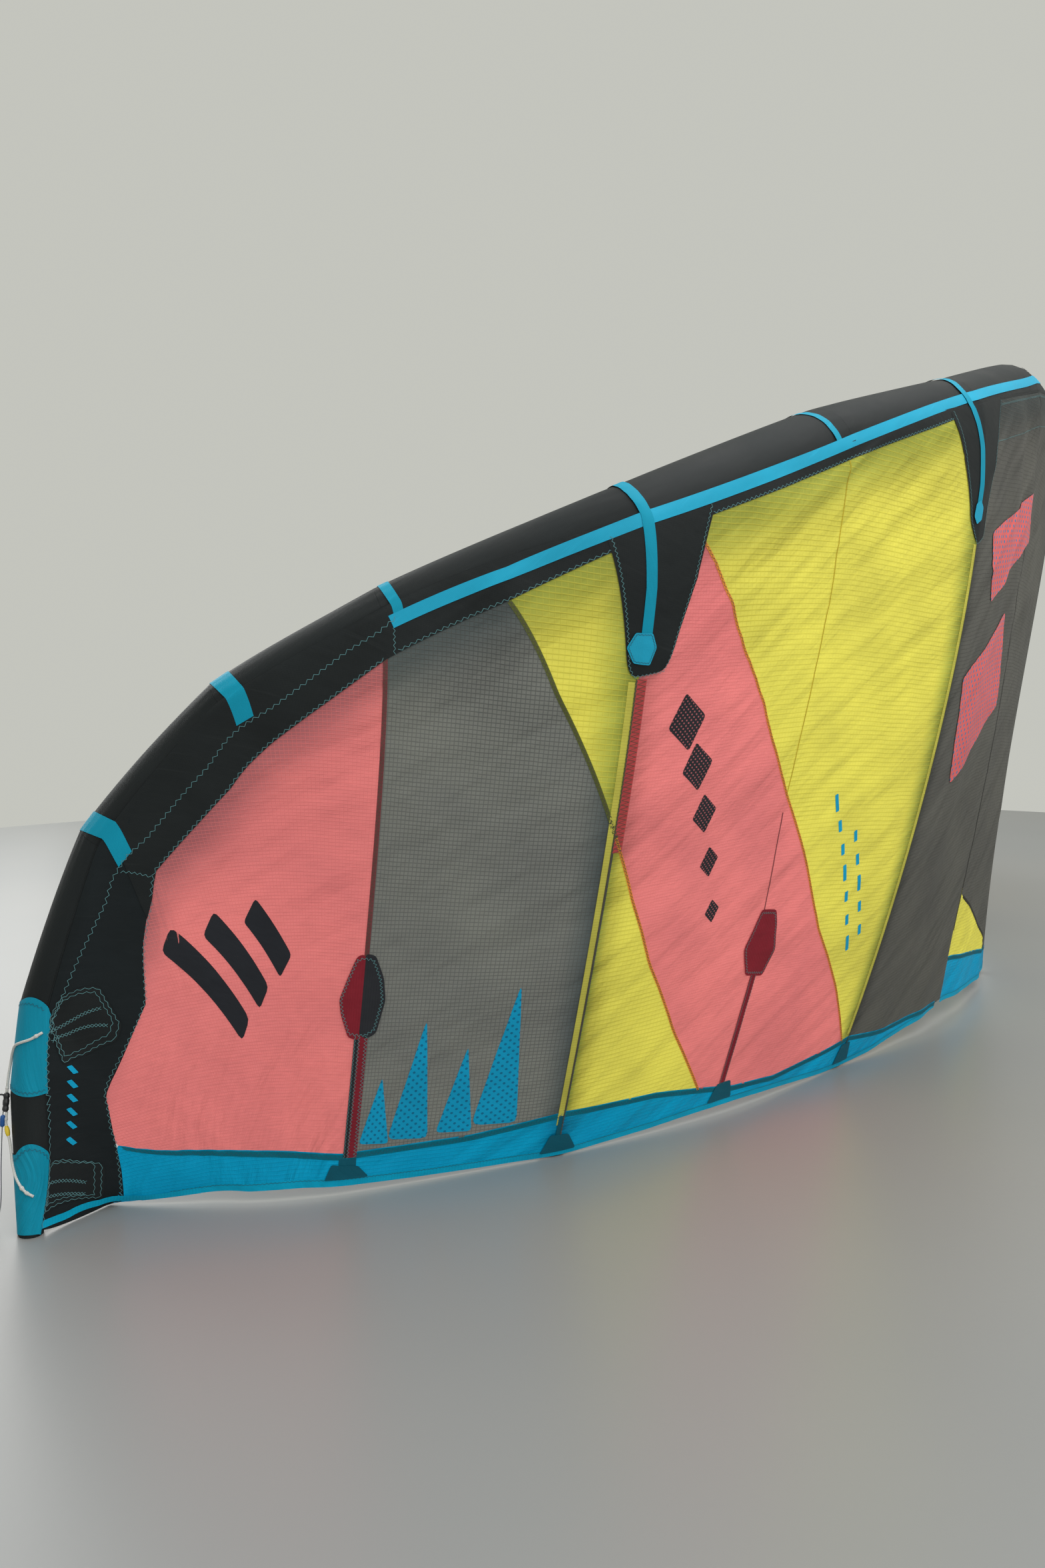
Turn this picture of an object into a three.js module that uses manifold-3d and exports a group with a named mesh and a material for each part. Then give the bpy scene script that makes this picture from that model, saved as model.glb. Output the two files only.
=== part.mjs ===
// An inflatable kitesurfing kite, blown up and standing on its struts and its two tips.
// Millimetres, +Z up. The kite is the same on both sides of x = 0, and its outer side faces -Y.
// The origin is on the floor, under the middle of the kite's box.
import * as THREE from "three";
import { mergeVertices } from "three/addons/utils/BufferGeometryUtils.js";
import Module from "manifold-3d";

// Stations from the middle of the kite (0) to its tip (10), on the side where x is below zero.
// le is the centre of the leading edge tube there, te the trailing edge, and tube the tube's radius.
// nose and tail are the canopy's camber in front and behind, as parts of the chord.
const STATIONS = [
  { le: [0, -880, 1880], te: [0, -815, 22], tube: 98, nose: 0.105, tail: 0 },
  { le: [-725, -785, 1790], te: [-715, -655, 50], tube: 96, nose: 0.075, tail: 0.045 },
  { le: [-1345, -625, 1625], te: [-1240, -405, 3], tube: 92, nose: 0.1, tail: 0.09 },
  { le: [-1790, -375, 1485], te: [-1655, -185, 20], tube: 88, nose: 0.09, tail: 0.05 },
  { le: [-2230, -70, 1285], te: [-2045, 120, 3], tube: 83, nose: 0.105, tail: 0.06 },
  { le: [-2375, 345, 1110], te: [-2360, 465, 15], tube: 73, nose: 0.11, tail: 0.05 },
  { le: [-2470, 630, 950], te: [-2405, 535, 20], tube: 63, nose: 0.1, tail: 0.04 },
  { le: [-2550, 850, 700], te: [-2445, 615, 20], tube: 56, nose: 0.09, tail: 0.04 },
  { le: [-2615, 940, 405], te: [-2470, 690, 20], tube: 50, nose: 0.1, tail: 0.03 },
  { le: [-2645, 950, 240], te: [-2510, 785, 10], tube: 45, nose: 0.12, tail: 0.03 },
  { le: [-2695, 930, 0], te: [-2545, 875, 3], tube: 22, nose: 0.13, tail: 0.08 },
];
const TIP = STATIONS.length - 1;
const CHORD_MIX = 0.4; // Stations are spaced along a line this share of the chord behind the tube.
const TUBE_ROUNDNESS = 0.3; // The tube is sewn from nearly straight gores,
const CLOTH_ROUNDNESS = 0.8; // and the cloth runs more smoothly from station to station.
const NOSE_AT = 0.1; // The canopy's two camber points, as parts of the chord.
const TAIL_AT = 0.55;

const CLOTH = 1.2; // thickness of a sheet
const CLOTH_LIFT = 0.6; // from the canopy's inner surface to the sheet
const PATCH_LIFT = 2.6; // from the canopy's inner surface to the patch sewn over the sheet
const SEAM = 0.8; // gap between two sheets
const JOINT = 0.3; // gap between two gores of the tube
const TUBE_SIDES = 16;
const CORNER_LEAD = 2; // A corner of the tube's outline lies this many degrees before the canopy.

const STRUT_STATIONS = [-4, -2, 0, 2, 4];
const STRUT_SIDES = 12;
const STRUT_RADIUS = { front: 46, rear: 30 };
const STRUT_GAP = 0.3; // from the strut to the canopy's inner surface, and to the tube
const STRUT_FOOT = { 0: 18, 2: 0, 4: 0 }; // height of each strut's end over the floor

const CORD = 5; // diameter of the white tip cords
const CORD_LIFT = 0.7; // from a cord to the tube that it lies on
const CORD_STEPS = 14;
const THIN_LINE = 2; // diameter of the line that hangs from the connector
const LINE_STEPS = 32;
const CONNECTOR = { radius: 6, length: 34, station: 9.05, turn: -100, lift: 1.6 };
const CORD_OFFSET = -2.8; // from the connector's axis to the lower cord and to the thin line, outwards
const LINE_OFFSET = 3.5;
const CORD_LEAD = 19; // A cord runs straight this far in front of the connector.

const WELD = 1e-3; // Corners closer than this are one corner.

const BLACK = { color: 0x262a2a, roughness: 0.75 };
const CORAL = { color: 0xe16e73, roughness: 0.55 };
const GREY = { color: 0x5f5c58, roughness: 0.6 };
const DARK_GREY = { color: 0x4b4844, roughness: 0.6 };
const YELLOW = { color: 0xded050, roughness: 0.55 };
const BLUE = { color: 0x008caf, roughness: 0.5 };
const WHITE = { color: 0xe8e8e4, roughness: 0.8 };

const wasm = await Module();
wasm.setup();

// The distance of each station from the middle of the kite.
const reach = [0];
for (let i = 1; i <= TIP; i++) {
  reach.push(reach[i - 1] + spacingPoint(i).distanceTo(spacingPoint(i - 1)));
}

function spacingPoint(i) {
  const le = new THREE.Vector3(...STATIONS[i].le);
  return le.lerp(new THREE.Vector3(...STATIONS[i].te), CHORD_MIX);
}

// The slope of a column of the table at station i, per millimetre of reach.
function slopeAt(column, i, sign) {
  if (i === TIP) {
    return (column[i] - column[i - 1]) / (reach[i] - reach[i - 1]);
  }
  const before = i === 0 ? reach[1] : reach[i] - reach[i - 1];
  const after = reach[i + 1] - reach[i];
  const last = i === 0 ? sign * column[1] : column[i - 1];
  const rise = (column[i] - last) / before;
  const next = (column[i + 1] - column[i]) / after;
  return (rise * after + next * before) / (before + after);
}

// A column's value at station number u, which may lie between two stations or be negative,
// on the other side of the kite. sign is -1 for a column that changes sign there.
function blend(column, u, roundness, sign = 1) {
  const at = Math.abs(u);
  const i = Math.min(Math.floor(at + 1e-9), TIP - 1);
  const t = at - i;
  const step = reach[i + 1] - reach[i];
  const [a, b] = [column[i], column[i + 1]];
  const [ma, mb] = [slopeAt(column, i, sign) * step, slopeAt(column, i + 1, sign) * step];
  const straight = a + (b - a) * t;
  const smooth =
    (2 * t ** 3 - 3 * t ** 2 + 1) * a +
    (t ** 3 - 2 * t ** 2 + t) * ma +
    (3 * t ** 2 - 2 * t ** 3) * b +
    (t ** 3 - t ** 2) * mb;
  const value = straight + (smooth - straight) * roundness;
  return u < 0 ? sign * value : value;
}

function pointColumns(name) {
  return [0, 1, 2].map((k) => STATIONS.map((s) => s[name][k]));
}

const COLUMNS = { le: pointColumns("le"), te: pointColumns("te") };
for (const name of ["tube", "nose", "tail"]) {
  COLUMNS[name] = STATIONS.map((s) => s[name]);
}

function edgePoint(name, u, roundness) {
  const [x, y, z] = COLUMNS[name];
  return new THREE.Vector3(
    blend(x, u, roundness, -1),
    blend(y, u, roundness),
    blend(z, u, roundness),
  );
}

// The direction of the leading or the trailing edge, which turns smoothly from gore to gore.
function edgeDirection(name, u) {
  const nudge = 0.02;
  const high = Math.min(u + nudge, TIP);
  const ahead = edgePoint(name, high, 1);
  return ahead.sub(edgePoint(name, high - 2 * nudge, 1)).normalize();
}

// The section of the kite at station number u: the chord and the directions of tube and canopy.
function sectionAt(u) {
  const le = edgePoint("le", u, TUBE_ROUNDNESS);
  const te = edgePoint("te", u, CLOTH_ROUNDNESS);
  const along = edgeDirection("le", u);
  const rearAlong = edgeDirection("te", u);
  const chord = le.distanceTo(te);
  const down = te.clone().sub(le).normalize();
  const out = along.clone().add(rearAlong).cross(down).normalize();
  const toRear = down.clone().addScaledVector(along, -down.dot(along)).normalize();
  const tubeOut = along.clone().cross(toRear);
  return { le, te, along, chord, down, out, toRear, tubeOut };
}

// A point on the tube at station number u, turned by degrees from its outermost line
// towards the rear, and lifted off its surface.
function onTube(u, degrees, lift) {
  const { le, tubeOut, toRear } = sectionAt(u);
  const turn = THREE.MathUtils.degToRad(degrees);
  const radius = blend(COLUMNS.tube, u, 0) + lift;
  le.addScaledVector(tubeOut, radius * Math.cos(turn));
  return le.addScaledVector(toRear, radius * Math.sin(turn));
}

// The angle on the tube where the canopy leaves it: the straight line from there to the canopy's
// front camber point only touches the tube.
function leavingAngle(u) {
  const outside = blend(COLUMNS.nose, u, CLOTH_ROUNDNESS);
  const away = Math.hypot(NOSE_AT, outside) * sectionAt(u).chord;
  const turn = Math.atan2(NOSE_AT, outside) - Math.acos(blend(COLUMNS.tube, u, 0) / away);
  return THREE.MathUtils.radToDeg(turn);
}

// The canopy's inner surface at station number u and share v of the way to the trailing edge.
function canopy(u, v) {
  const { le, te, chord, down, out } = sectionAt(u);
  const nose = chord * blend(COLUMNS.nose, u, CLOTH_ROUNDNESS);
  const start = onTube(u, leavingAngle(u), 0);
  const tail = chord * blend(COLUMNS.tail, u, CLOTH_ROUNDNESS);
  const front = le.clone().addScaledVector(down, chord * NOSE_AT).addScaledVector(out, nose);
  const rear = le.clone().addScaledVector(down, chord * TAIL_AT).addScaledVector(out, tail);
  return new THREE.CubicBezierCurve3(start, front, rear, te).getPoint(v);
}

// The canopy's outward direction.
function canopyNormal(u, v) {
  const nudge = 0.01;
  const [u0, u1] = [Math.min(u, TIP - nudge) - nudge, Math.min(u, TIP - nudge) + nudge];
  const [v0, v1] = [Math.max(v - nudge, 0), Math.min(v + nudge, 1)];
  const across = canopy(u1, v).sub(canopy(u0, v));
  const back = canopy(u, v1).sub(canopy(u, v0));
  return across.cross(back).normalize();
}

// A function that joins a short list of [place, value] points by straight lines.
function polyline(points) {
  return (at) => {
    let i = 0;
    while (i < points.length - 2 && at > points[i + 1][0]) i++;
    const [[a, start], [b, end]] = [points[i], points[i + 1]];
    const t = THREE.MathUtils.clamp((at - a) / (b - a), 0, 1);
    return start + (end - start) * t;
  };
}

function constant(value) {
  return () => value;
}

// Columns of facets lie this far apart in station numbers,
// and rows at these shares of the height between the tube and the blue band.
const COLUMN_STEP = 0.5;
const EXTRA_COLUMNS = [6.7, 6.8, 8.7];
const PATCH_STEP = 0.125; // Patches follow the canopy more closely.
const MAIN_ROWS = [0, 0.04, 0.09, 0.16, 0.25, 0.35, 0.47, 0.59, 0.61, 0.7, 0.8, 0.9, 1];
const TIP_ROWS = [0, 0.15, 0.35, 0.6, 1];
const BAND_ROWS = [0, 1];
const MIDDLE_ROWS = [0, 0.04, 0.09, 0.16, 0.25, 0.35, 0.47, 0.6, 0.7, 0.8, 0.91, 0.912, 1];

// The station numbers of the columns that an outline reaches.
function columnsOver(outline, step) {
  const us = outline.map((p) => p.u);
  const [low, high] = [Math.min(...us), Math.max(...us)];
  const columns = EXTRA_COLUMNS.filter((u) => u > low && u < high);
  for (let j = Math.floor(low / step); j <= Math.ceil(high / step); j++) columns.push(j * step);
  return columns.sort((a, b) => a - b);
}

// The part of a convex outline where u is on one side of a limit. side is 1 to keep what is above.
function clip(outline, limit, side) {
  const kept = [];
  outline.forEach((p, i) => {
    const q = outline[(i + 1) % outline.length];
    const [dp, dq] = [side * (p.u - limit), side * (q.u - limit)];
    if (dp >= 0) kept.push(p);
    if (dp * dq < 0) {
      const t = dp / (dp - dq);
      kept.push({ u: limit, t: p.t + (q.t - p.t) * t });
    }
  });
  return kept;
}

// A closed sheet on the canopy between the lines inner and outer, which give station numbers at a
// share t of the way from the edge top(u) to the edge bottom(u).
function sheet({ inner, outer, top, bottom, levels, from = 0, to = 1, patch = false }) {
  const gap = (u) => SEAM / 2 / sectionAt(u).chord;
  const height = (u, t) => {
    const [high, low] = [top(u) + gap(u), bottom(u) - gap(u)];
    return high + (low - high) * t;
  };
  const inset = (line, t, side) => {
    const u = line(t);
    const nudge = 0.01;
    const v = height(u, t);
    const perStation = canopy(u, v).distanceTo(canopy(u - nudge, v)) / nudge;
    return u + (side * SEAM) / 2 / perStation;
  };
  const rows = [from, ...levels.filter((t) => t > from && t < to), to];
  const cells = [];
  for (let k = 0; k < rows.length - 1; k++) {
    const [ta, tb] = [rows[k], rows[k + 1]];
    const band = [
      { u: inset(inner, ta, 1), t: ta },
      { u: inset(outer, ta, -1), t: ta },
      { u: inset(outer, tb, -1), t: tb },
      { u: inset(inner, tb, 1), t: tb },
    ];
    const columns = columnsOver(band, patch ? PATCH_STEP : COLUMN_STEP);
    for (let j = 0; j < columns.length - 1; j++) {
      const cell = clip(clip(band, columns[j], 1), columns[j + 1], -1);
      if (cell.length > 2) cells.push(cell);
    }
  }
  return slab(cells, height, patch ? PATCH_LIFT : CLOTH_LIFT);
}

// The closed solid over a list of cells: an outer and an inner face and the walls round them.
function slab(cells, height, lift) {
  const index = new Map();
  const points = [];
  const edges = new Map();
  const faces = [];
  const vertex = ({ u, t }) => {
    const key = `${u.toFixed(6)} ${t.toFixed(6)}`;
    if (!index.has(key)) {
      index.set(key, points.length / 6);
      const v = height(u, t);
      const base = canopy(u, v);
      const normal = canopyNormal(u, v);
      const inside = base.clone().addScaledVector(normal, lift);
      const outside = base.clone().addScaledVector(normal, lift + CLOTH);
      points.push(...outside.toArray(), ...inside.toArray());
    }
    return index.get(key);
  };
  for (const cell of cells) {
    const ring = cell.map(vertex).filter((id, i, all) => id !== all[(i + 1) % all.length]);
    for (let i = 1; i < ring.length - 1; i++) {
      const [a, b, c] = [ring[0], ring[i], ring[i + 1]];
      faces.push(2 * a, 2 * b, 2 * c, 2 * a + 1, 2 * c + 1, 2 * b + 1);
    }
    ring.forEach((a, i) => {
      const b = ring[(i + 1) % ring.length];
      if (!edges.delete(`${b} ${a}`)) edges.set(`${a} ${b}`, [a, b]);
    });
  }
  for (const [a, b] of edges.values()) {
    faces.push(2 * b, 2 * a, 2 * a + 1, 2 * b, 2 * a + 1, 2 * b + 1);
  }
  return solidFrom(points, faces);
}

function solidFrom(points, faces) {
  const geometry = new THREE.BufferGeometry();
  geometry.setAttribute("position", new THREE.Float32BufferAttribute(points, 3));
  geometry.setIndex(faces);
  return geometry;
}

// A closed tube through a list of rings of points, each ring turning from out towards the rear.
function lofted(rings) {
  const sides = rings[0].length;
  const points = rings.flatMap((ring) => ring.flatMap((p) => p.toArray()));
  const last = (rings.length - 1) * sides;
  const faces = [];
  for (let k = 0; k < rings.length - 1; k++) {
    for (let i = 0; i < sides; i++) {
      const [a, b] = [k * sides + i, k * sides + ((i + 1) % sides)];
      faces.push(a, a + sides, b, b, a + sides, b + sides);
    }
  }
  for (let i = 1; i < sides - 1; i++) {
    faces.push(0, i, i + 1, last, last + i + 1, last + i);
  }
  return solidFrom(points, faces);
}

// Moves each point of a ring along a direction until it is at height z.
function cutLevel(ring, direction, z) {
  return ring.map((p) => p.clone().addScaledVector(direction, (z - p.z) / direction.z));
}

function tubeRing(u, swell = 0) {
  const start = leavingAngle(u) - CORNER_LEAD;
  const ring = [];
  for (let i = 0; i < TUBE_SIDES; i++) {
    ring.push(onTube(u, start + (360 * i) / TUBE_SIDES, swell));
  }
  return ring;
}

// A gore of the leading edge tube from station a to station b.
function gore(a, b, swell = 0) {
  const rings = [];
  for (let u = a; u <= b; u += COLUMN_STEP) {
    const { along } = sectionAt(u);
    const shift = u === a ? JOINT / 2 : u === b ? -JOINT / 2 : 0;
    const ring = tubeRing(u, swell).map((p) => p.addScaledVector(along, shift));
    rings.push(u === TIP ? cutLevel(ring, along, 0) : ring);
  }
  return lofted(rings);
}

// A strut under the canopy, from inside the leading edge tube, which cuts it off, to its foot.
function strut(station) {
  const side = Math.abs(station);
  const { bottom, levels } = side === 0 ? middleBay : mainBays;
  const shares = [...levels.slice(1).map((t) => t * bottom(side)), 1];
  const rings = shares.map((v) => strutRing(side, v));
  const end = shares.length - 1;
  const axis = centreOf(rings[end]).sub(centreOf(rings[end - 1])).normalize();
  rings[end] = cutLevel(rings[end], axis, STRUT_FOOT[side]);
  const body = manifoldOf(lofted(rings));
  const tube = manifoldOf(gore(side - 1, side + 1, STRUT_GAP));
  const cut = geometryOf(body.subtract(tube));
  return station < 0 ? mirrored(cut) : cut;
}

function strutRing(u, v) {
  const normal = canopyNormal(u, v);
  const { along } = sectionAt(u);
  const radius = THREE.MathUtils.lerp(STRUT_RADIUS.front, STRUT_RADIUS.rear, v);
  const back = along.clone().cross(normal).negate().normalize();
  const side = normal.clone().cross(back).normalize();
  const centre = canopy(u, v).addScaledVector(normal, -radius - STRUT_GAP);
  const ring = [];
  for (let i = 0; i < STRUT_SIDES; i++) {
    const turn = (2 * Math.PI * i) / STRUT_SIDES;
    const p = centre.clone().addScaledVector(normal, radius * Math.cos(turn));
    ring.push(p.addScaledVector(side, radius * Math.sin(turn)));
  }
  return ring;
}

function centreOf(ring) {
  const sum = new THREE.Vector3();
  ring.forEach((p) => sum.add(p));
  return sum.divideScalar(ring.length);
}

function manifoldOf(geometry) {
  const bare = new THREE.BufferGeometry();
  bare.setAttribute("position", geometry.getAttribute("position").clone());
  bare.setIndex(geometry.index.clone());
  const merged = mergeVertices(bare, WELD);
  return new wasm.Manifold(
    new wasm.Mesh({
      numProp: 3,
      vertProperties: new Float32Array(merged.getAttribute("position").array),
      triVerts: new Uint32Array(merged.index.array),
    }),
  );
}

function geometryOf(manifold) {
  const mesh = manifold.getMesh();
  return solidFrom(Array.from(mesh.vertProperties), Array.from(mesh.triVerts));
}

// The same solid on the other side of the kite.
function mirrored(geometry) {
  const copy = geometry.clone().applyMatrix4(new THREE.Matrix4().makeScale(-1, 1, 1));
  const order = copy.index;
  for (let i = 0; i < order.count; i += 3) {
    const [b, c] = [order.getX(i + 1), order.getX(i + 2)];
    order.setX(i + 1, c);
    order.setX(i + 2, b);
  }
  return copy;
}

// Edges down the canopy's height, as shares of the chord at station numbers.
const TUBE_EDGE = constant(0);
const CANOPY_END = constant(1);
// The lower edge of the black cloth at the tip.
const BLACK_EDGE = polyline([
  [6.7, 0.01],
  [6.8, 0.32],
  [7.22, 0.494],
  [8.23, 0.5],
  [8.57, 0.6],
  [9.02, 0.752],
  [9.53, 0.916],
  [10, 1],
]);
// The upper edge of the blue band along the trailing edge.
const BAND_TOP = polyline([
  [1, 0.995],
  [1.63, 0.981],
  [2, 0.962],
  [2.67, 0.984],
  [3, 0.981],
  [3.52, 0.954],
  [4, 0.94],
  [4.42, 0.953],
  [5.07, 0.956],
  [6.28, 0.936],
  [8.26, 0.8],
  [8.72, 0.68],
  [9.02, 0.752],
  [9.53, 0.916],
  [10, 1],
]);
const BAND_TOP_MIDDLE = polyline([
  [0, 0.972],
  [0.94, 0.942],
]);

// Seams between panels: station numbers at shares of the canopy's height.
const CORAL_END = 8.7;
const BLACK_START = 6.72;
const BLACK_FINISH = 9.96;
const BAND_FINISH = 9.9;
const GREY_SEAM = constant(5);
const DIAGONAL_SEAM = polyline([
  [0, 4.62],
  [0.35, 4.3],
  [0.6, 4],
]);
const WEDGE_SEAM = polyline([
  [0.6, 4],
  [0.7, 3.88],
  [0.8, 3.73],
  [0.91, 3.5],
  [1, 3.24],
]);
const WAVE_SEAM = polyline([
  [0, 3.9],
  [0.22, 3.7],
  [0.35, 3.57],
  [0.52, 3.29],
  [0.6, 3.13],
  [0.7, 2.88],
  [0.8, 2.65],
  [0.91, 2.31],
  [1, 2.06],
]);
const MIDDLE_SEAM = polyline([
  [0, 1],
  [0.28, 0.94],
  [1, 0.94],
]);
const FOOT_SEAM = polyline([
  [0.91, 0.94],
  [1, 0.1],
]);
const FIRST_STRUT = constant(4);
const SECOND_STRUT = constant(2);
const MIDDLE = constant(0);
const DIAGONAL_FOOT = 0.6; // where the diagonal seam meets the first strut
const DIAGONAL_CUT = 0.01; // The sheets that run out in a point there end this share short of it.
const FOOT_TOP = 0.91; // the point of the yellow triangle in the middle bay
const FOOT_CUT = 0.002;

const middleBay = { top: TUBE_EDGE, bottom: BAND_TOP_MIDDLE, levels: MIDDLE_ROWS };
const mainBays = { top: TUBE_EDGE, bottom: BAND_TOP, levels: MAIN_ROWS };

// The panels of one half of the canopy.
const PANELS = [
  {
    name: "panel_tip_black",
    finish: BLACK,
    inner: constant(BLACK_START),
    outer: constant(BLACK_FINISH),
    top: TUBE_EDGE,
    bottom: BLACK_EDGE,
    levels: TIP_ROWS,
  },
  {
    name: "panel_tip_coral",
    finish: CORAL,
    inner: GREY_SEAM,
    outer: constant(CORAL_END),
    top: BLACK_EDGE,
    bottom: BAND_TOP,
    levels: MAIN_ROWS,
  },
  { name: "panel_grey", finish: GREY, inner: greyInner, outer: GREY_SEAM, ...mainBays },
  {
    name: "panel_yellow_upper",
    finish: YELLOW,
    inner: FIRST_STRUT,
    outer: DIAGONAL_SEAM,
    to: DIAGONAL_FOOT - DIAGONAL_CUT,
    ...mainBays,
  },
  {
    name: "panel_yellow_wedge",
    finish: YELLOW,
    inner: WEDGE_SEAM,
    outer: FIRST_STRUT,
    from: DIAGONAL_FOOT + DIAGONAL_CUT,
    ...mainBays,
  },
  { name: "panel_coral_wave", finish: CORAL, inner: WAVE_SEAM, outer: waveOuter, ...mainBays },
  {
    name: "panel_yellow_main",
    finish: YELLOW,
    inner: SECOND_STRUT,
    outer: WAVE_SEAM,
    ...mainBays,
  },
  {
    name: "panel_dark_outer",
    finish: DARK_GREY,
    inner: MIDDLE_SEAM,
    outer: SECOND_STRUT,
    ...mainBays,
  },
  { name: "panel_dark_inner", finish: DARK_GREY, inner: MIDDLE, outer: darkOuter, ...middleBay },
  {
    name: "panel_yellow_foot",
    finish: YELLOW,
    inner: FOOT_SEAM,
    outer: MIDDLE_SEAM,
    from: FOOT_TOP + FOOT_CUT,
    ...middleBay,
  },
];

function greyInner(t) {
  return t < DIAGONAL_FOOT ? DIAGONAL_SEAM(t) : FIRST_STRUT(t);
}

function waveOuter(t) {
  return t < DIAGONAL_FOOT ? FIRST_STRUT(t) : WEDGE_SEAM(t);
}

function darkOuter(t) {
  return t < FOOT_TOP ? MIDDLE_SEAM(t) : FOOT_SEAM(t);
}

// The blue bands along the trailing edge of one half.
const BANDS = [
  { name: "band_tip", inner: FIRST_STRUT, outer: constant(BAND_FINISH), top: BAND_TOP },
  { name: "band_bays", inner: constant(1.03), outer: FIRST_STRUT, top: BAND_TOP },
  { name: "band_middle", inner: MIDDLE, outer: constant(0.94), top: BAND_TOP_MIDDLE },
];

// The black patches over the front of the struts.
const PATCH_END = 0.35;
const PATCHES = [
  {
    name: "patch_strut_1",
    inner: polyline([
      [0, 3.73],
      [0.09, 3.76],
      [0.22, 3.83],
      [PATCH_END, 3.91],
    ]),
    outer: polyline([
      [0, 4.14],
      [PATCH_END, 4.02],
    ]),
    ...mainBays,
  },
  {
    name: "patch_strut_2",
    inner: polyline([
      [0, 1.72],
      [0.15, 1.85],
      [PATCH_END, 1.96],
    ]),
    outer: polyline([
      [0, 2.29],
      [PATCH_END, 2.04],
    ]),
    ...mainBays,
  },
];
const MIDDLE_PATCH_HALF = polyline([
  [0, 0.28],
  [PATCH_END, 0.06],
]);
const MIDDLE_PATCH = {
  inner: (t) => -MIDDLE_PATCH_HALF(t),
  outer: MIDDLE_PATCH_HALF,
  ...middleBay,
};

// Gores of the leading edge tube of one half, from the bay beside the middle to the tip.
const GORES = [
  [1, 2],
  [2, 3],
  [3, 4],
  [4, 5],
  [5, 6],
  [6, 7],
  [7, TIP],
];

// The connector at a tip lies along the tube, and the cords end at its two flat ends.
function connectorFrame() {
  const { along } = sectionAt(CONNECTOR.station);
  const lift = CONNECTOR.radius + CONNECTOR.lift;
  const centre = onTube(CONNECTOR.station, CONNECTOR.turn, lift);
  const half = CONNECTOR.length / 2 + JOINT;
  const start = centre.clone().addScaledVector(along, -half);
  const end = centre.clone().addScaledVector(along, half);
  const out = centre.clone().sub(edgePoint("le", CONNECTOR.station, TUBE_ROUNDNESS));
  out.addScaledVector(along, -out.dot(along)).normalize();
  return { along, centre, start, end, out };
}

function connector() {
  const { along, centre } = connectorFrame();
  const body = new THREE.CylinderGeometry(CONNECTOR.radius, CONNECTOR.radius, CONNECTOR.length, 12);
  const turn = new THREE.Quaternion().setFromUnitVectors(new THREE.Vector3(0, 1, 0), along);
  body.applyQuaternion(turn).translate(...centre.toArray());
  return plain(body);
}

// A geometry with positions only and shared corners.
function plain(geometry) {
  geometry.deleteAttribute("normal");
  geometry.deleteAttribute("uv");
  return mergeVertices(geometry, WELD);
}

// A round cord through a list of points.
function cord(points, diameter, steps) {
  const path = new THREE.CatmullRomCurve3(points, false, "centripetal");
  const ring = [];
  for (let i = 0; i < 8; i++) {
    const turn = (2 * Math.PI * i) / 8;
    ring.push(new THREE.Vector2(Math.cos(turn), Math.sin(turn)).multiplyScalar(diameter / 2));
  }
  const options = { steps, bevelEnabled: false, extrudePath: path };
  return plain(new THREE.ExtrudeGeometry(new THREE.Shape(ring), options));
}

// The upper white cord leaves the seam at the tube, turns round the tube and runs to the connector.
function upperCord() {
  const { along, start } = connectorFrame();
  const lift = CORD / 2 + CORD_LIFT;
  const route = [
    onTube(8.26, -4, lift),
    onTube(8.3, -14, lift),
    onTube(8.35, -27, lift),
    onTube(8.4, -48, lift),
    onTube(8.45, -69, lift),
    onTube(8.52, -84, lift),
    onTube(8.62, -96, lift + 1),
    start.clone().addScaledVector(along, -CORD_LEAD),
    start,
  ];
  return cord(route, CORD, CORD_STEPS);
}

// The lower white cord runs up from the tip to the connector.
function lowerCord() {
  const { along, end, out } = connectorFrame();
  const lift = CORD / 2 + CORD_LIFT;
  const finish = end.clone().addScaledVector(out, CORD_OFFSET);
  const route = [
    onTube(9.72, -20, lift),
    onTube(9.68, -46, lift),
    onTube(9.6, -72, lift),
    onTube(9.5, -92, lift),
    onTube(9.35, -99, lift + 1),
    finish.clone().addScaledVector(along, CORD_LEAD),
    finish,
  ];
  return cord(route, CORD, CORD_STEPS);
}

// The thin line hangs from the connector and ends on the floor.
function thinLine() {
  const { along, end, out } = connectorFrame();
  const start = end.clone().addScaledVector(out, LINE_OFFSET);
  const drop = start.clone().addScaledVector(along, 12);
  const floor = THIN_LINE / 2 + 0.5;
  const route = [
    start,
    drop,
    new THREE.Vector3(drop.x - 1, drop.y + 6, 120),
    new THREE.Vector3(drop.x - 2, drop.y + 10, 40),
    new THREE.Vector3(drop.x - 4, drop.y + 18, 12),
    new THREE.Vector3(drop.x - 7, drop.y + 32, 3),
    new THREE.Vector3(drop.x - 10, drop.y + 45, floor),
    new THREE.Vector3(drop.x - 20, drop.y + 80, floor),
    new THREE.Vector3(drop.x - 45, drop.y + 125, floor),
  ];
  return cord(route, THIN_LINE, LINE_STEPS);
}

const kite = new THREE.Group();

function add(name, geometry, finish) {
  const mesh = new THREE.Mesh(geometry, new THREE.MeshStandardMaterial(finish));
  mesh.name = name;
  kite.add(mesh);
}

// Adds a piece of the modelled half, on the left, and its mirror image on the right.
function addPair(name, geometry, finish) {
  add(`${name}_left`, geometry, finish);
  add(`${name}_right`, mirrored(geometry), finish);
}

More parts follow.
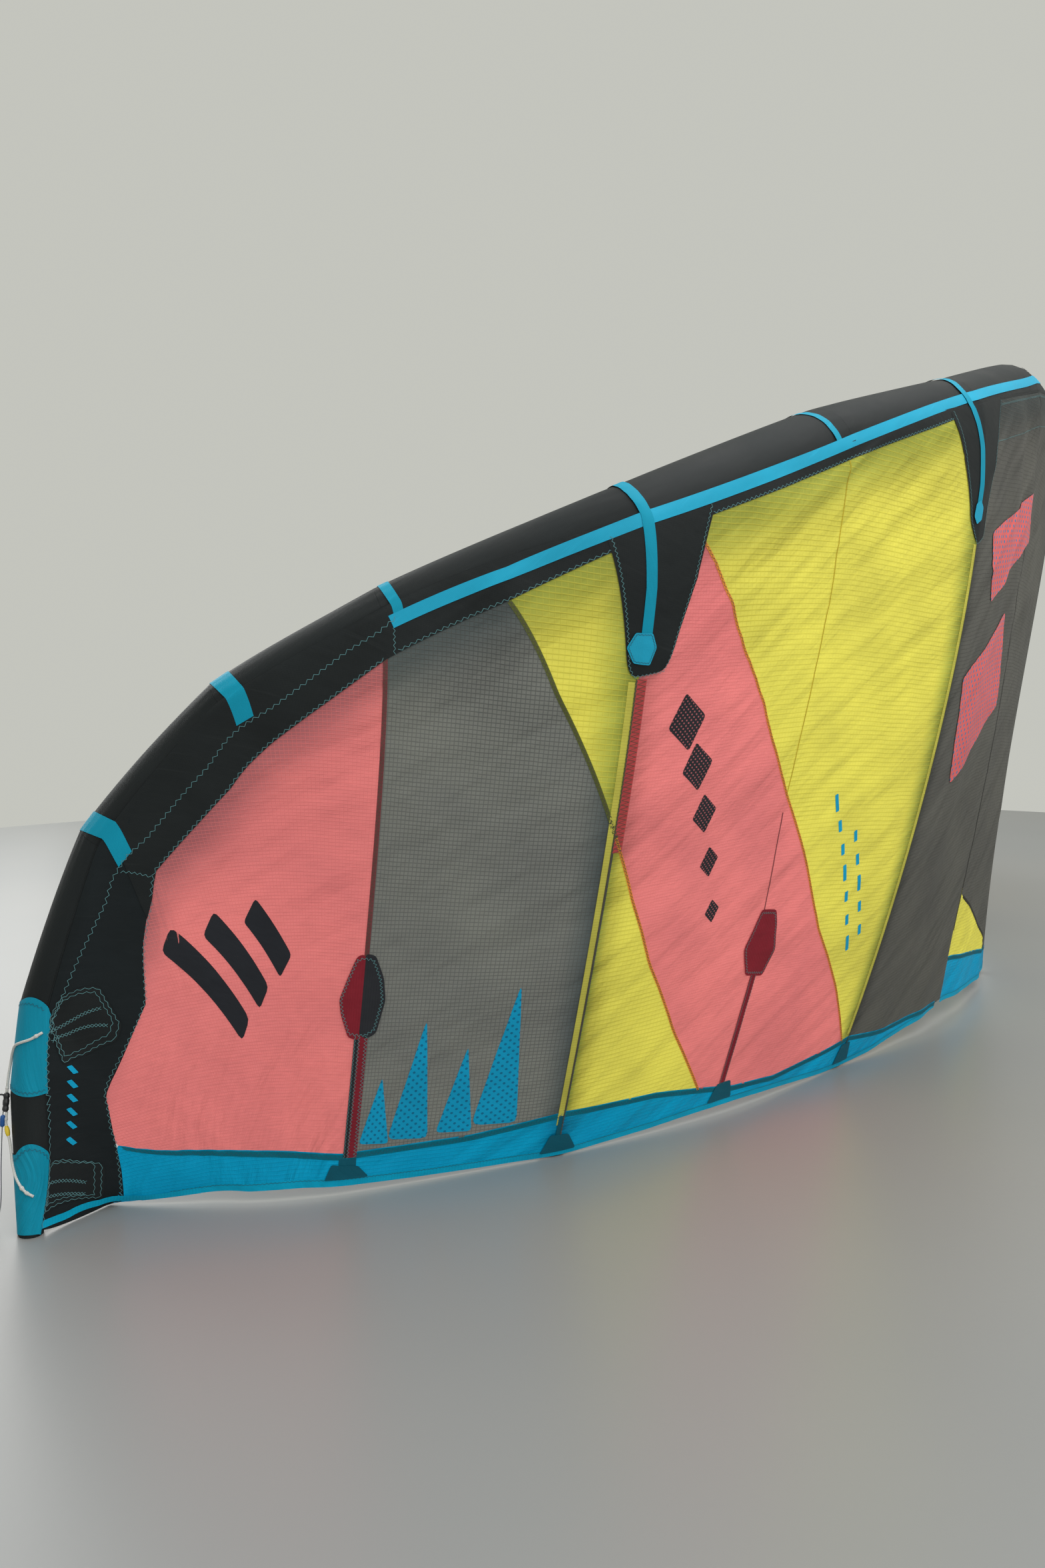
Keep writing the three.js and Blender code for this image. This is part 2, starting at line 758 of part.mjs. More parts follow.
add("tube_middle", gore(-1, 1), BLACK);
for (const [a, b] of GORES) addPair(`tube_${a}`, gore(a, b), BLACK);
for (const station of STRUT_STATIONS) {
  const side = station === 0 ? "middle" : `${Math.abs(station)}_${station < 0 ? "right" : "left"}`;
  add(`strut_${side}`, strut(station), BLACK);
}
for (const { name, finish, ...shape } of PANELS) addPair(name, sheet(shape), finish);
for (const { name, ...shape } of BANDS) {
  addPair(name, sheet({ ...shape, bottom: CANOPY_END, levels: BAND_ROWS }), BLUE);
}
for (const { name, ...shape } of PATCHES) {
  addPair(name, sheet({ ...shape, to: PATCH_END, patch: true }), BLACK);
}
add("patch_middle", sheet({ ...MIDDLE_PATCH, to: PATCH_END, patch: true }), BLACK);
addPair("connector", connector(), BLACK);
addPair("cord_upper", upperCord(), WHITE);
addPair("cord_lower", lowerCord(), WHITE);
addPair("thin_line", thinLine(), BLACK);

export default kite;
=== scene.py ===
"""The looks of an inflatable kitesurfing kite that stands blown up on its rear edge. Metres, +Z up.
The kite is the same on both sides of x = 0, so most pieces are made for x below zero and mirrored.
A place on it is (u, w). u is a station number, from 0 at the middle to 10 at the tip, and w is the
share of the chord from the tube to the rear edge, or below 0 a place round the tube."""

from types import SimpleNamespace

import bpy
import numpy as np
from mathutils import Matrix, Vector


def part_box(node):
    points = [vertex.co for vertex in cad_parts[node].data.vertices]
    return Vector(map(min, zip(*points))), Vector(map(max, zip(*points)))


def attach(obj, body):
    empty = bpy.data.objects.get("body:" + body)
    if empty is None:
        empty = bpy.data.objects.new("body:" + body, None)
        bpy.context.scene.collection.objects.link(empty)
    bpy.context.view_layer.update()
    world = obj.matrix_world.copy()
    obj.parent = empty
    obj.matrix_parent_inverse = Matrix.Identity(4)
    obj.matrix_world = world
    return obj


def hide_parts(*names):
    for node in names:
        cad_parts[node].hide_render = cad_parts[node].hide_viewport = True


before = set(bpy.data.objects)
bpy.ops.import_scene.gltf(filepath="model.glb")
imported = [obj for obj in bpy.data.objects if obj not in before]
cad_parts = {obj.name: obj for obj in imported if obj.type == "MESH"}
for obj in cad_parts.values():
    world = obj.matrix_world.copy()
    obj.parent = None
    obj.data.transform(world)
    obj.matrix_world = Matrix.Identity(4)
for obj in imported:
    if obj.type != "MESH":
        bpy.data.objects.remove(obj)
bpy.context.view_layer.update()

# The centre of the leading edge tube, the rear edge, the tube's radius and the canopy's camber in
# front and behind, as shares of the chord. One line for each station.
STATIONS = [
    ((0, -0.88, 1.88), (0, -0.815, 0.022), 0.098, 0.105, 0),
    ((-0.725, -0.785, 1.79), (-0.715, -0.655, 0.05), 0.096, 0.075, 0.045),
    ((-1.345, -0.625, 1.625), (-1.24, -0.405, 0.003), 0.092, 0.1, 0.09),
    ((-1.79, -0.375, 1.485), (-1.655, -0.185, 0.02), 0.088, 0.09, 0.05),
    ((-2.23, -0.07, 1.285), (-2.045, 0.12, 0.003), 0.083, 0.105, 0.06),
    ((-2.375, 0.345, 1.11), (-2.36, 0.465, 0.015), 0.073, 0.11, 0.05),
    ((-2.47, 0.63, 0.95), (-2.405, 0.535, 0.02), 0.063, 0.1, 0.04),
    ((-2.55, 0.85, 0.7), (-2.445, 0.615, 0.02), 0.056, 0.09, 0.04),
    ((-2.615, 0.94, 0.405), (-2.47, 0.69, 0.02), 0.05, 0.1, 0.03),
    ((-2.645, 0.95, 0.24), (-2.51, 0.785, 0.01), 0.045, 0.12, 0.03),
    ((-2.695, 0.93, 0), (-2.545, 0.875, 0.003), 0.022, 0.13, 0.08),
]
TABLE = np.array([(*le, *te, *rest) for le, te, *rest in STATIONS])
LE, TE, TUBE, NOSE, TAIL = slice(0, 3), slice(3, 6), slice(6, 7), slice(7, 8), slice(8, 9)
MIRROR = np.array([-1, 1, 1, -1, 1, 1, 1, 1, 1])
TIP = len(STATIONS) - 1
CHORD_MIX = 0.4
TUBE_ROUNDNESS = 0.3
CLOTH_ROUNDNESS = 0.8
NOSE_AT = 0.1
TAIL_AT = 0.55


def run_along(points):
    """The distance along points, from the first to each."""
    return np.concatenate([[0], np.cumsum(np.linalg.norm(np.diff(points, axis=0), axis=1))])


REACH = run_along(TABLE[:, LE] * (1 - CHORD_MIX) + TABLE[:, TE] * CHORD_MIX)


def metres_at(u):
    """Metres across the kite at station numbers."""
    return np.sign(u) * np.interp(np.abs(u), np.arange(TIP + 1), REACH)


def station_at(x):
    return np.sign(x) * np.interp(np.abs(x), REACH, np.arange(TIP + 1))


def slopes():
    """The slope of each column of the table at each station, per metre of reach."""
    columns = np.concatenate([TABLE[1:2] * MIRROR, TABLE])
    steps = np.diff(np.concatenate([[-REACH[1]], REACH]))[:, None]
    rise = np.diff(columns, axis=0) / steps
    inner = (rise[:-1] * steps[1:] + rise[1:] * steps[:-1]) / (steps[:-1] + steps[1:])
    return np.concatenate([inner, rise[-1:]])


SLOPES = slopes()


def blend(columns, u, roundness):
    """Columns of the table at station numbers, which are negative on the kite's other side."""
    u = np.asarray(u, float)
    i = np.clip(np.floor(np.abs(u) + 1e-9).astype(int), 0, TIP - 1)
    t = (np.abs(u) - i)[..., None]
    step = (REACH[i + 1] - REACH[i])[..., None]
    a, b = TABLE[i][..., columns], TABLE[i + 1][..., columns]
    ma, mb = SLOPES[i][..., columns] * step, SLOPES[i + 1][..., columns] * step
    straight = a + (b - a) * t
    curved = (2 * t**3 - 3 * t**2 + 1) * a + (t**3 - 2 * t**2 + t) * ma
    curved = curved + (3 * t**2 - 2 * t**3) * b + (t**3 - t**2) * mb
    value = straight + (curved - straight) * roundness
    return np.where(u[..., None] < 0, value * MIRROR[columns], value)


def unit(a):
    return a / np.maximum(np.linalg.norm(a, axis=-1, keepdims=True), 1e-12)


def dot(a, b):
    return (a * b).sum(-1, keepdims=True)


def edge_direction(columns, u):
    nudge = 0.02
    high = np.minimum(u + nudge, TIP)
    return unit(blend(columns, high, 1) - blend(columns, high - 2 * nudge, 1))


def section(u):
    """The kite's section at station numbers. The canopy leaves the tube at the angle leaving, and
    free is the straight way from there to its first control point."""
    s = SimpleNamespace()
    s.le, s.te = blend(LE, u, TUBE_ROUNDNESS), blend(TE, u, CLOTH_ROUNDNESS)
    s.along = edge_direction(LE, u)
    s.chord = np.linalg.norm(s.te - s.le, axis=-1, keepdims=True)
    s.down = unit(s.te - s.le)
    s.out = unit(np.cross(s.along + edge_direction(TE, u), s.down))
    s.to_rear = unit(s.down - s.along * dot(s.along, s.down))
    s.tube_out = np.cross(s.along, s.to_rear)
    s.radius = blend(TUBE, u, 0)
    s.nose, s.tail = blend(NOSE, u, CLOTH_ROUNDNESS), blend(TAIL, u, CLOTH_ROUNDNESS)
    away = np.hypot(NOSE_AT, s.nose) * s.chord
    s.leaving = np.arctan2(NOSE_AT, s.nose) - np.arccos(s.radius / away)
    s.free = np.sqrt(away**2 - s.radius**2)
    return s


def chord(u):
    return section(np.asarray(u, float)).chord[..., 0]


def around(s, turn, lift=0):
    """A point on the tube, turned in radians from its outermost line towards the rear."""
    return s.le + (s.radius + lift) * (np.cos(turn) * s.tube_out + np.sin(turn) * s.to_rear)


def canopy(u, v):
    """The canopy's inner surface at station number u and share v of the way to the rear edge."""
    u, v = np.broadcast_arrays(np.asarray(u, float), np.asarray(v, float))
    s = section(u)
    v = v[..., None]
    front = s.le + s.chord * (NOSE_AT * s.down + s.nose * s.out)
    rear = s.le + s.chord * (TAIL_AT * s.down + s.tail * s.out)
    w = 1 - v
    return w**3 * around(s, s.leaving) + 3 * w**2 * v * front + 3 * w * v**2 * rear + v**3 * s.te


def canopy_normal(u, v):
    nudge = 0.01
    u, v = np.broadcast_arrays(np.asarray(u, float), np.asarray(v, float))
    mid = np.minimum(u, TIP - nudge)
    across = canopy(mid + nudge, v) - canopy(mid - nudge, v)
    back = canopy(u, np.minimum(v + nudge, 1)) - canopy(u, np.maximum(v - nudge, 0))
    return unit(np.cross(across, back))


# The camera, the light and the floor.

CAMERA_AT = (-4.47, -0.59, 1.0)
CAMERA_TURN = (90 - 4.7, 0, -72)
CAMERA_LENS = 28.09
# name, place, size, power in watts, the point that it faces
LIGHTS = [
    ("ceiling", (-1.5, -1.5, 5.2), 7, 300, (0, 0, 0)),
    ("front", (-7.5, -6.0, 3.6), 4, 160, (-1.5, 0, 0.8)),
    ("behind", (1.5, 6.5, 4.0), 6, 260, (-0.5, 0, 0.9)),
]
WORLD_COLOUR = (0.55, 0.555, 0.51)
FLOOR_RADIUS = 6.0
FLOOR_SIDES = 180
FLOOR_DROP = 0.0005


def put(name, data, place=(0, 0, 0), turn=(0, 0, 0)):
    """A new object in the scene."""
    made = bpy.data.objects.new(name, data)
    made.location = place
    made.rotation_euler = turn
    bpy.context.scene.collection.objects.link(made)
    return made


def make_camera():
    data = bpy.data.cameras.new("camera")
    data.lens = CAMERA_LENS
    data.sensor_width = 36
    data.clip_start = 0.05
    bpy.context.scene.camera = put("camera", data, CAMERA_AT, np.radians(CAMERA_TURN))


def make_lights():
    for name, place, size, power, target in LIGHTS:
        data = bpy.data.lights.new(name, "AREA")
        data.size = size
        data.energy = power
        x, y, z = np.array(target, float) - place
        put(name, data, place, (np.arctan2(np.hypot(x, y), -z), 0, np.arctan2(-x, y)))
    world = bpy.data.worlds.new("studio")
    world.use_nodes = True
    world.node_tree.nodes["Background"].inputs["Color"].default_value = (*WORLD_COLOUR, 1)
    bpy.context.scene.world = world
    bpy.context.scene.view_settings.view_transform = "Standard"


def make_floor():
    data = bpy.data.meshes.new("floor")
    turn = np.linspace(0, 2 * np.pi, FLOOR_SIDES, endpoint=False)
    rim = [(FLOOR_RADIUS * np.cos(t), FLOOR_RADIUS * np.sin(t), 0) for t in turn]
    data.from_pydata(rim, [], [list(range(FLOOR_SIDES))])
    data.materials.append(floor_material())
    put("floor", data, (0, 0, -FLOOR_DROP))


# Materials.


class Shader:
    """A material's node tree, built with short calls."""

    def __init__(self, name, slot=None):
        self.material = bpy.data.materials.new(name)
        self.material.use_nodes = True
        self.tree = self.material.node_tree
        self.tree.nodes.clear()

    def fill(self, socket, value):
        if isinstance(value, bpy.types.NodeSocket):
            self.tree.links.new(value, socket)
        else:
            socket.default_value = value

    def node(self, kind, inputs=(), **settings):
        made = self.tree.nodes.new("ShaderNode" + kind)
        for key, value in settings.items():
            setattr(made, key, value)
        for key, value in dict(inputs).items():
            self.fill(made.inputs[key], value)
        return made

    def math(self, operation, a, b=0.0, clamp=False):
        return self.node("Math", {0: a, 1: b}, operation=operation, use_clamp=clamp).outputs[0]

    def plus(self, a, b):
        return self.math("ADD", a, b)

    def times(self, a, b):
        return self.math("MULTIPLY", a, b)

    def mix(self, factor, a, b, blend_type="MIX"):
        made = self.node("Mix", data_type="RGBA", blend_type=blend_type)
        sockets = {socket.identifier: socket for socket in made.inputs}
        self.fill(sockets["Factor_Float"], factor)
        for key, value in (("A_Color", a), ("B_Color", b)):
            self.fill(sockets[key], (*value, 1) if isinstance(value, tuple) else value)
        return next(s for s in made.outputs if s.identifier == "Result_Color")

    def tint(self, base, low, high, factor):
        """The base colour multiplied by greys from low to high, by a factor."""
        return self.mix(1.0, base, self.mix(factor, low, high), "MULTIPLY")

    def cloth(self):
        """The coordinates on the cloth in metres, as a vector, x and y."""
        uv = self.node("UVMap", uv_map="UVMap").outputs["UV"]
        parts = self.node("SeparateXYZ", {"Vector": uv}).outputs
        return uv, parts["X"], parts["Y"]

    def noise(self, vector, scale, detail=2.0, stretch=(1, 1, 1), turn=0.0):
        scales = tuple(1 / s for s in stretch)
        inputs = {"Vector": vector, "Scale": scales, "Rotation": (0, 0, turn)}
        placed = self.node("Mapping", inputs, vector_type="TEXTURE")
        settings = {"Vector": placed.outputs[0], "Scale": scale, "Detail": detail}
        return self.node("TexNoise", settings).outputs["Fac"]

    def ramp(self, value, low=0.3, high=0.7):
        return self.node("MapRange", {"Value": value, "From Min": low, "From Max": high}).outputs[0]

    def lines(self, coordinate, pitch, share):
        """1 on thin lines that repeat at a pitch along a coordinate, and 0 between them."""
        wave = self.math("COSINE", self.times(coordinate, 2 * np.pi / pitch))
        rim = float(np.cos(np.pi * share))
        return self.math("DIVIDE", self.math("SUBTRACT", wave, rim), 1 - rim, clamp=True)

    def crossed(self, function, x, y, pitch):
        """A function of x + y and of x - y, which makes diagonal rows."""
        both = self.plus(x, y), self.math("SUBTRACT", x, y)
        return [self.math(function, self.times(way, 2 * np.pi / pitch)) for way in both]

    def bump(self, height, distance, strength=1.0, normal=None):
        inputs = {"Height": height, "Distance": distance, "Strength": strength}
        if normal is not None:
            inputs["Normal"] = normal
        return self.node("Bump", inputs).outputs[0]

    def finish(self, base, roughness, normal, specular=0.5, through=0):
        """The whole material, which lets a share of the light through."""
        inputs = {"Base Color": base, "Roughness": roughness, "Normal": normal}
        made = self.node("BsdfPrincipled", {**inputs, "Specular IOR Level": specular})
        if through:
            back = self.node("BsdfTranslucent", {"Color": base, "Normal": normal})
            made = self.node("MixShader", {0: through, 1: made.outputs[0], 2: back.outputs[0]})
        self.node("OutputMaterial", {"Surface": made.outputs[0]})
        return self.material


def scaled(colour, by):
    return tuple(min(c * by, 1) for c in colour)


# The bluish tint of the painted shade that struts and the tube cast through the cloth.
PAINTED_SHADE_TINT = (0.44, 0.55, 0.62)


def ripstop(name, slot, colour, line_colour, pitch, line_mix, through, cross, share=0.3, roughness=0.5):
    """Thin sailcloth with a grid of thicker threads. It lets light through, and the attribute shade
    gives it a painted shade where an inflated strut or the tube behind it blocks that light."""
    s = Shader(name, slot)
    uv, x, y = s.cloth()
    y = s.plus(y, s.times(s.noise(uv, 9, 1), 0.006))
    columns = s.times(s.lines(x, pitch, share * 0.8), cross)
    grid = s.math("MAXIMUM", s.lines(y, pitch, share), columns)
    patchy = s.plus(s.times(s.ramp(s.noise(uv, 2.2)), 0.5), 0.5)
    base = s.mix(s.times(s.times(grid, patchy), line_mix), colour, line_colour)
    cloudy = s.ramp(s.noise(uv, 3.0, 3, (1, 1.6, 1), 0.6), 0.35, 0.65)
    base = s.tint(base, (0.90, 0.90, 0.91), (1.05, 1.05, 1.03), cloudy)
    fibres = s.ramp(s.noise(uv, 60, 2, (0.35, 3, 1)))
    base = s.tint(base, (0.95, 0.95, 0.95), (1.03, 1.03, 1.03), fibres)
    # Painted shade: the cells go darker and bluer where a strut or the tube behind the cloth blocks the
    # light through it, and the thread lines darken less.
    shade = s.node("Attribute", attribute_name="shade").outputs["Fac"]
    cells = s.math("SUBTRACT", 1.0, s.times(grid, 0.55))
    base = s.mix(s.times(shade, cells), base, s.mix(1.0, base, PAINTED_SHADE_TINT, "MULTIPLY"))
    normal = s.bump(s.noise(uv, 4.2, 2, (0.4, 1.7, 1), -0.6), 0.046, 0.9)
    normal = s.bump(s.noise(uv, 16, 3, (0.35, 1.5, 1), -0.7), 0.0095, 0.9, normal)
    normal = s.bump(grid, 0.0006, 0.6, normal)
    return s.finish(base, s.plus(s.times(fibres, 0.12), roughness), normal, 0.16, through)


def dacron(name, slot, colour, roughness, mottle=0.08):
    """Dense woven polyester, as on the tube, its bands and the patches."""
    s = Shader(name, slot)
    uv, x, y = s.cloth()
    weave = s.math("MAXIMUM", s.lines(x, 0.0016, 0.5), s.lines(y, 0.0016, 0.5))
    cloudy = s.ramp(s.noise(uv, 7, 4))
    base = s.mix(cloudy, scaled(colour, 1 - mottle), scaled(colour, 1 + mottle))
    scuffs = s.ramp(s.noise(uv, 40, 3, (0.2, 2.5, 1), 0.3), 0.62, 0.8)
    base = s.mix(s.times(scuffs, 0.35), base, tuple(c * 1.5 + 0.01 for c in colour))
    normal = s.bump(s.noise(uv, 5, 3, (0.5, 1.4, 1)), 0.012, 0.35)
    normal = s.bump(s.noise(uv, 26, 2, (0.6, 1.6, 1), 0.4), 0.003, 0.35, normal)
    normal = s.bump(weave, 0.0002, 0.5, normal)
    return s.finish(base, s.plus(s.times(cloudy, 0.12), roughness), normal, 0.17)


def film(name, slot, colour, through=0.3, roughness=0.5):
    """A lap or a tape of thin cloth over the panels."""
    s = Shader(name, slot)
    uv, x, _ = s.cloth()
    ribs = s.lines(x, 0.006, 0.4)
    cloudy = s.ramp(s.noise(uv, 12, 3))
    base = s.mix(cloudy, scaled(colour, 0.86), scaled(colour, 1.1))
    base = s.mix(s.times(ribs, 0.3), base, scaled(colour, 0.7))
    normal = s.bump(s.noise(uv, 30, 3, (0.5, 1.6, 1)), 0.003, 0.5)
    normal = s.bump(ribs, 0.0003, 0.5, normal)
    return s.finish(base, s.plus(s.times(cloudy, 0.15), roughness), normal, 0.18, through)


def dotted(name, slot, colour, dot_colour, pitch):
    """Printed cloth with rows of round dots."""
    s = Shader(name, slot)
    uv, x, y = s.cloth()
    rows, columns = (s.math("ABSOLUTE", way) for way in s.crossed("COSINE", x, y, 2 * pitch))
    base = s.mix(s.ramp(s.times(rows, columns), 0.72, 0.8), colour, dot_colour)
    base = s.tint(base, (0.9, 0.9, 0.9), (1.05, 1.05, 1.05), s.ramp(s.noise(uv, 8, 3)))
    normal = s.bump(s.noise(uv, 20, 3, (0.5, 1.6, 1), 0.5), 0.004, 0.4)
    return s.finish(base, 0.55, normal, 0.2)


def braided(name, slot, colour, twist=0.004):
    """A braided cord: x goes round it and y along it."""
    s = Shader(name, slot)
    _, x, y = s.cloth()
    strands = s.times(*s.crossed("SINE", x, y, twist))
    base = s.mix(s.ramp(strands, -1, 1), scaled(colour, 0.6), colour)
    return s.finish(base, 0.8, s.bump(strands, 0.0006, 0.8))


def plastic(name, slot, colour, roughness=0.4):
    s = Shader(name, slot)
    place = s.node("TexCoord").outputs["Object"]
    normal = s.bump(s.noise(place, 900), 0.0002, 0.4)
    cloudy = s.ramp(s.noise(place, 90))
    base = s.mix(cloudy, scaled(colour, 0.85), colour)
    return s.finish(base, s.plus(s.times(cloudy, 0.1), roughness), normal)


def floor_material():
    s = Shader("floor")
    place = s.node("TexCoord").outputs["Object"]
    cloudy = s.ramp(s.noise(place, 0.5, 3))
    base = s.mix(cloudy, (0.245, 0.255, 0.257), (0.275, 0.28, 0.277))
    return s.finish(base, 0.36, s.bump(s.noise(place, 60, 3), 0.001, 0.15))


BLACK = dacron("black_dacron", "black_cloth", (0.0115, 0.0145, 0.0155), 0.52, 0.18)
BLACK_CLOTH = dacron("black_cloth", "black_cloth", (0.0095, 0.0135, 0.0155), 0.62, 0.2)
TEAL = dacron("teal_dacron", "blue_cloth", (0.001, 0.27, 0.41), 0.5, 0.07)
TEAL_DARK = dacron("dark_teal_patch", "blue_cloth", (0.004, 0.10, 0.15), 0.5)
LIGHT_BLUE = dacron("light_blue_tape", "blue_cloth", (0.012, 0.345, 0.54), 0.45, 0.06)
PINK_INK = dacron("pink_ink", "black_cloth", (0.62, 0.42, 0.44), 0.55)
INK = dacron("dark_ink", "coral_cloth", (0.02, 0.022, 0.028), 0.55, 0.1)
BLUE_INK = dacron("blue_ink", "yellow_cloth", (0.002, 0.36, 0.62), 0.5)
CORAL = ripstop("coral_ripstop", "coral_cloth", (0.98, 0.265, 0.265), (0.84, 0.17, 0.17),
                pitch=0.0066, line_mix=0.45, through=0.3, cross=0.7)
GREY = ripstop("grey_ripstop", "grey_cloth", (0.215, 0.222, 0.205), (0.085, 0.09, 0.088),
               pitch=0.0082, line_mix=0.75, through=0.3, cross=0.95, share=0.28, roughness=0.55)
DARK = ripstop("dark_ripstop", "dark_grey_cloth", (0.118, 0.116, 0.104), (0.066, 0.064, 0.058),
               pitch=0.01, line_mix=0.6, through=0.22, cross=0.3, roughness=0.55)
YELLOW = ripstop("yellow_ripstop", "yellow_cloth", (0.93, 0.85, 0.13), (0.64, 0.56, 0.05),
                 pitch=0.0105, line_mix=0.6, through=0.34, cross=0.4)
BLUE = ripstop("blue_ripstop", "blue_cloth", (0.0, 0.37, 0.66), (0.0, 0.29, 0.53),
               pitch=0.009, line_mix=0.4, through=0.16, cross=0.4)
HEM = film("blue_hem", "blue_cloth", (0.0, 0.43, 0.68), 0.12)
LAP_TEAL = film("teal_lap", "blue_cloth", (0.0, 0.175, 0.25), 0.1)
ORANGE = film("orange_lap", "yellow_cloth", (0.88, 0.36, 0.06))
PALE_YELLOW = film("pale_yellow_lap", "yellow_cloth", (0.80, 0.74, 0.13))
DEEP_YELLOW = film("deep_yellow_lap", "yellow_cloth", (0.62, 0.48, 0.04))
OLIVE_LAP = film("olive_lap", "yellow_cloth", (0.13, 0.15, 0.04), 0.2)
DEEP_CORAL = film("deep_coral_lap", "coral_cloth", (0.62, 0.085, 0.09), 0.25)
WINE_LAP = film("wine_lap", "coral_cloth", (0.20, 0.055, 0.06), 0.15)
RED_PAD = film("red_pad", "coral_cloth", (0.27, 0.02, 0.035), 0.15)
DARK_LAP = film("dark_lap", "dark_grey_cloth", (0.035, 0.035, 0.035), 0.12)
PAD_DARK = film("dark_pad", "dark_grey_cloth", (0.028, 0.03, 0.036), 0.1)
DOTTED_INK = dotted("dotted_ink", "coral_cloth", (0.02, 0.022, 0.028), (0.42, 0.12, 0.13), 0.011)
DOTTED_BLUE = dotted("dotted_blue", "grey_cloth", (0.002, 0.35, 0.62), (0.003, 0.17, 0.33), 0.017)
DOTTED_CORAL = dotted("dotted_coral", "dark_grey_cloth", (0.80, 0.14, 0.14), (0.02, 0.22, 0.42), 0.026)
SEAM_THREAD = plastic("thread", "black_cloth", (0.10, 0.25, 0.27), 0.7)
DARK_THREAD = plastic("dark_thread", "black_cloth", (0.09, 0.075, 0.05), 0.7)
LAP_THREAD = plastic("blue_thread", "black_cloth", (0.01, 0.12, 0.18), 0.7)
WHITE_CORD = braided("white_cord", "white_cord", (0.86, 0.86, 0.82))
THIN_CORD = braided("thin_line", "thin_line", (0.33, 0.34, 0.36), 0.0025)
BLACK_PLASTIC = plastic("black_plastic", "connector", (0.02, 0.021, 0.023))
BLUE_PLASTIC = plastic("blue_plastic", "connector", (0.01, 0.09, 0.32))
YELLOW_PLASTIC = plastic("yellow_plastic", "connector", (0.75, 0.55, 0.03))


# The cloth's folds, and the surface that every sewn piece follows.

LATTICE_SIZE = 64
rng = np.random.default_rng(7)
LATTICE = rng.uniform(-1, 1, (LATTICE_SIZE, LATTICE_SIZE))
STRUTS = (0, 2, 4)
JOINTS = slice(1, 8)
SHARES = np.linspace(0, 1, 201)
ALONG = 0.3 * SHARES * (1 - SHARES) ** 2 + 1.65 * SHARES**2 * (1 - SHARES) + SHARES**3
SAG = 1.03  # the cloth's length from tube to rear edge, beside the chord's
CREASE_TURN = np.radians(35)
WALK_PARTS = 40


def smooth(t):
    t = np.clip(t, 0, 1)
    return t * t * (3 - 2 * t)


def lattice(i, j):
    return LATTICE[i % LATTICE_SIZE, j % LATTICE_SIZE]


def noise(x, y):
    """Soft noise from -1 to 1 on a lattice of unit cells."""
    i, j = np.floor(x).astype(int), np.floor(y).astype(int)
    a, b = smooth(x - i), smooth(y - j)
    low = lattice(i, j) * (1 - a) + lattice(i + 1, j) * a
    high = lattice(i, j + 1) * (1 - a) + lattice(i + 1, j + 1) * a
    return low * (1 - b) + high * b


def ridge(a):
    return smooth(1 - np.abs(a) * 3.2) - 0.35


def along_at(v):
    """How far share v of the canopy's curve has come along the chord."""
    return np.interp(v, SHARES, ALONG)


def cloth_place(u, v):
    """Metres across the kite, and metres up the cloth from the rear edge."""
    across = metres_at(u)
    return across, (1 - along_at(v)) * chord(u) * SAG + 0 * across


def station_place(x, y):
    """The station number and share of the chord at a place on the cloth."""
    u = station_at(x)
    return u, np.interp(1 - y / (chord(u) * SAG), ALONG, SHARES)


def folds(u, v):
    """How far the cloth stands off its smooth surface."""
    x, y = cloth_place(u, v)
    x = np.abs(x)
    p = x * np.cos(CREASE_TURN) - y * np.sin(CREASE_TURN)
    q = x * np.sin(CREASE_TURN) + y * np.cos(CREASE_TURN)
    near_tube = smooth((0.7 - v) / 0.6)
    creases = ridge(noise(p / 0.6 + 5, q / 0.13)) * (0.2 + 0.8 * near_tube) * 0.0048
    fine = ridge(noise(p / 0.28 + 31, q / 0.055 + 7)) * (0.35 + 0.65 * near_tube) * 0.0016
    wide = noise(x / 0.42 + 9, y / 0.3 + 3) * 0.004
    drape = noise(x / 0.11 + 20, y / 0.8) * 0.006 * smooth((1.9 - np.abs(u)) / 0.4)
    from_strut = np.min([np.abs(np.abs(u) - strut) for strut in STRUTS], axis=0)
    held = smooth(from_strut / 0.25) * smooth(v / 0.08) * smooth((TIP - np.abs(u)) / 0.8)
    return (creases + fine + wide + drape) * held


def puckers(u, turn):
    """How far the tube's cloth is gathered in at its joints."""
    at = np.abs(u)[..., None]
    distance = np.abs(metres_at(at)[..., None] - REACH[JOINTS])
    near = np.exp(-distance.min(-1) / 0.045)
    ripple = np.cos(13 * turn + 3 * at) * np.cos(7 * turn - at)
    return near * (-0.0016 + 0.0012 * ripple)


def skin(u, v, lift):
    """The cloth at station number u and share v of the chord, lifted off the inner surface."""
    return canopy(u, v) + canopy_normal(u, v) * (lift + folds(u, v))[..., None]


def on_round(u, turn, lift):
    """The tube at station number u, turned in radians from its outermost line."""
    turn = turn[..., None]
    return around(section(u), turn, lift[..., None] + puckers(u, turn))


def wrap(u, w, lift=0.0):
    """The kite's outer surface: the cloth at share w of the chord, or the tube where w is below 0."""
    u, w, lift = (a.astype(float) for a in np.broadcast_arrays(u, w, lift))
    cloth = skin(u, np.clip(w, 0, 1), lift)
    s = section(u)
    turn = s.leaving + np.minimum(w, 0)[..., None] * 3 * s.free / s.radius
    return np.where(w[..., None] < 0, on_round(u, turn[..., 0], lift), cloth)


def slants(u, w):
    """The surface's directions along u and along w, and its normal."""
    e = 1e-3
    across = (wrap(u + e, w) - wrap(u - e, w)) / (2 * e)
    back = (wrap(u, w + e) - wrap(u, w - e)) / (2 * e)
    return across, back, unit(np.cross(across, back))


def side_of(u, w, path):
    """The direction in (u, w) that goes one metre beside a path on the surface."""
    across, back, normal = slants(u, w)
    side = np.cross(normal, unit(path))
    a, b, c = dot(across, across), dot(across, back), dot(back, back)
    p, q = dot(side, across), dot(side, back)
    return np.concatenate([p * c - q * b, q * a - p * b], -1) / (a * c - b * b)


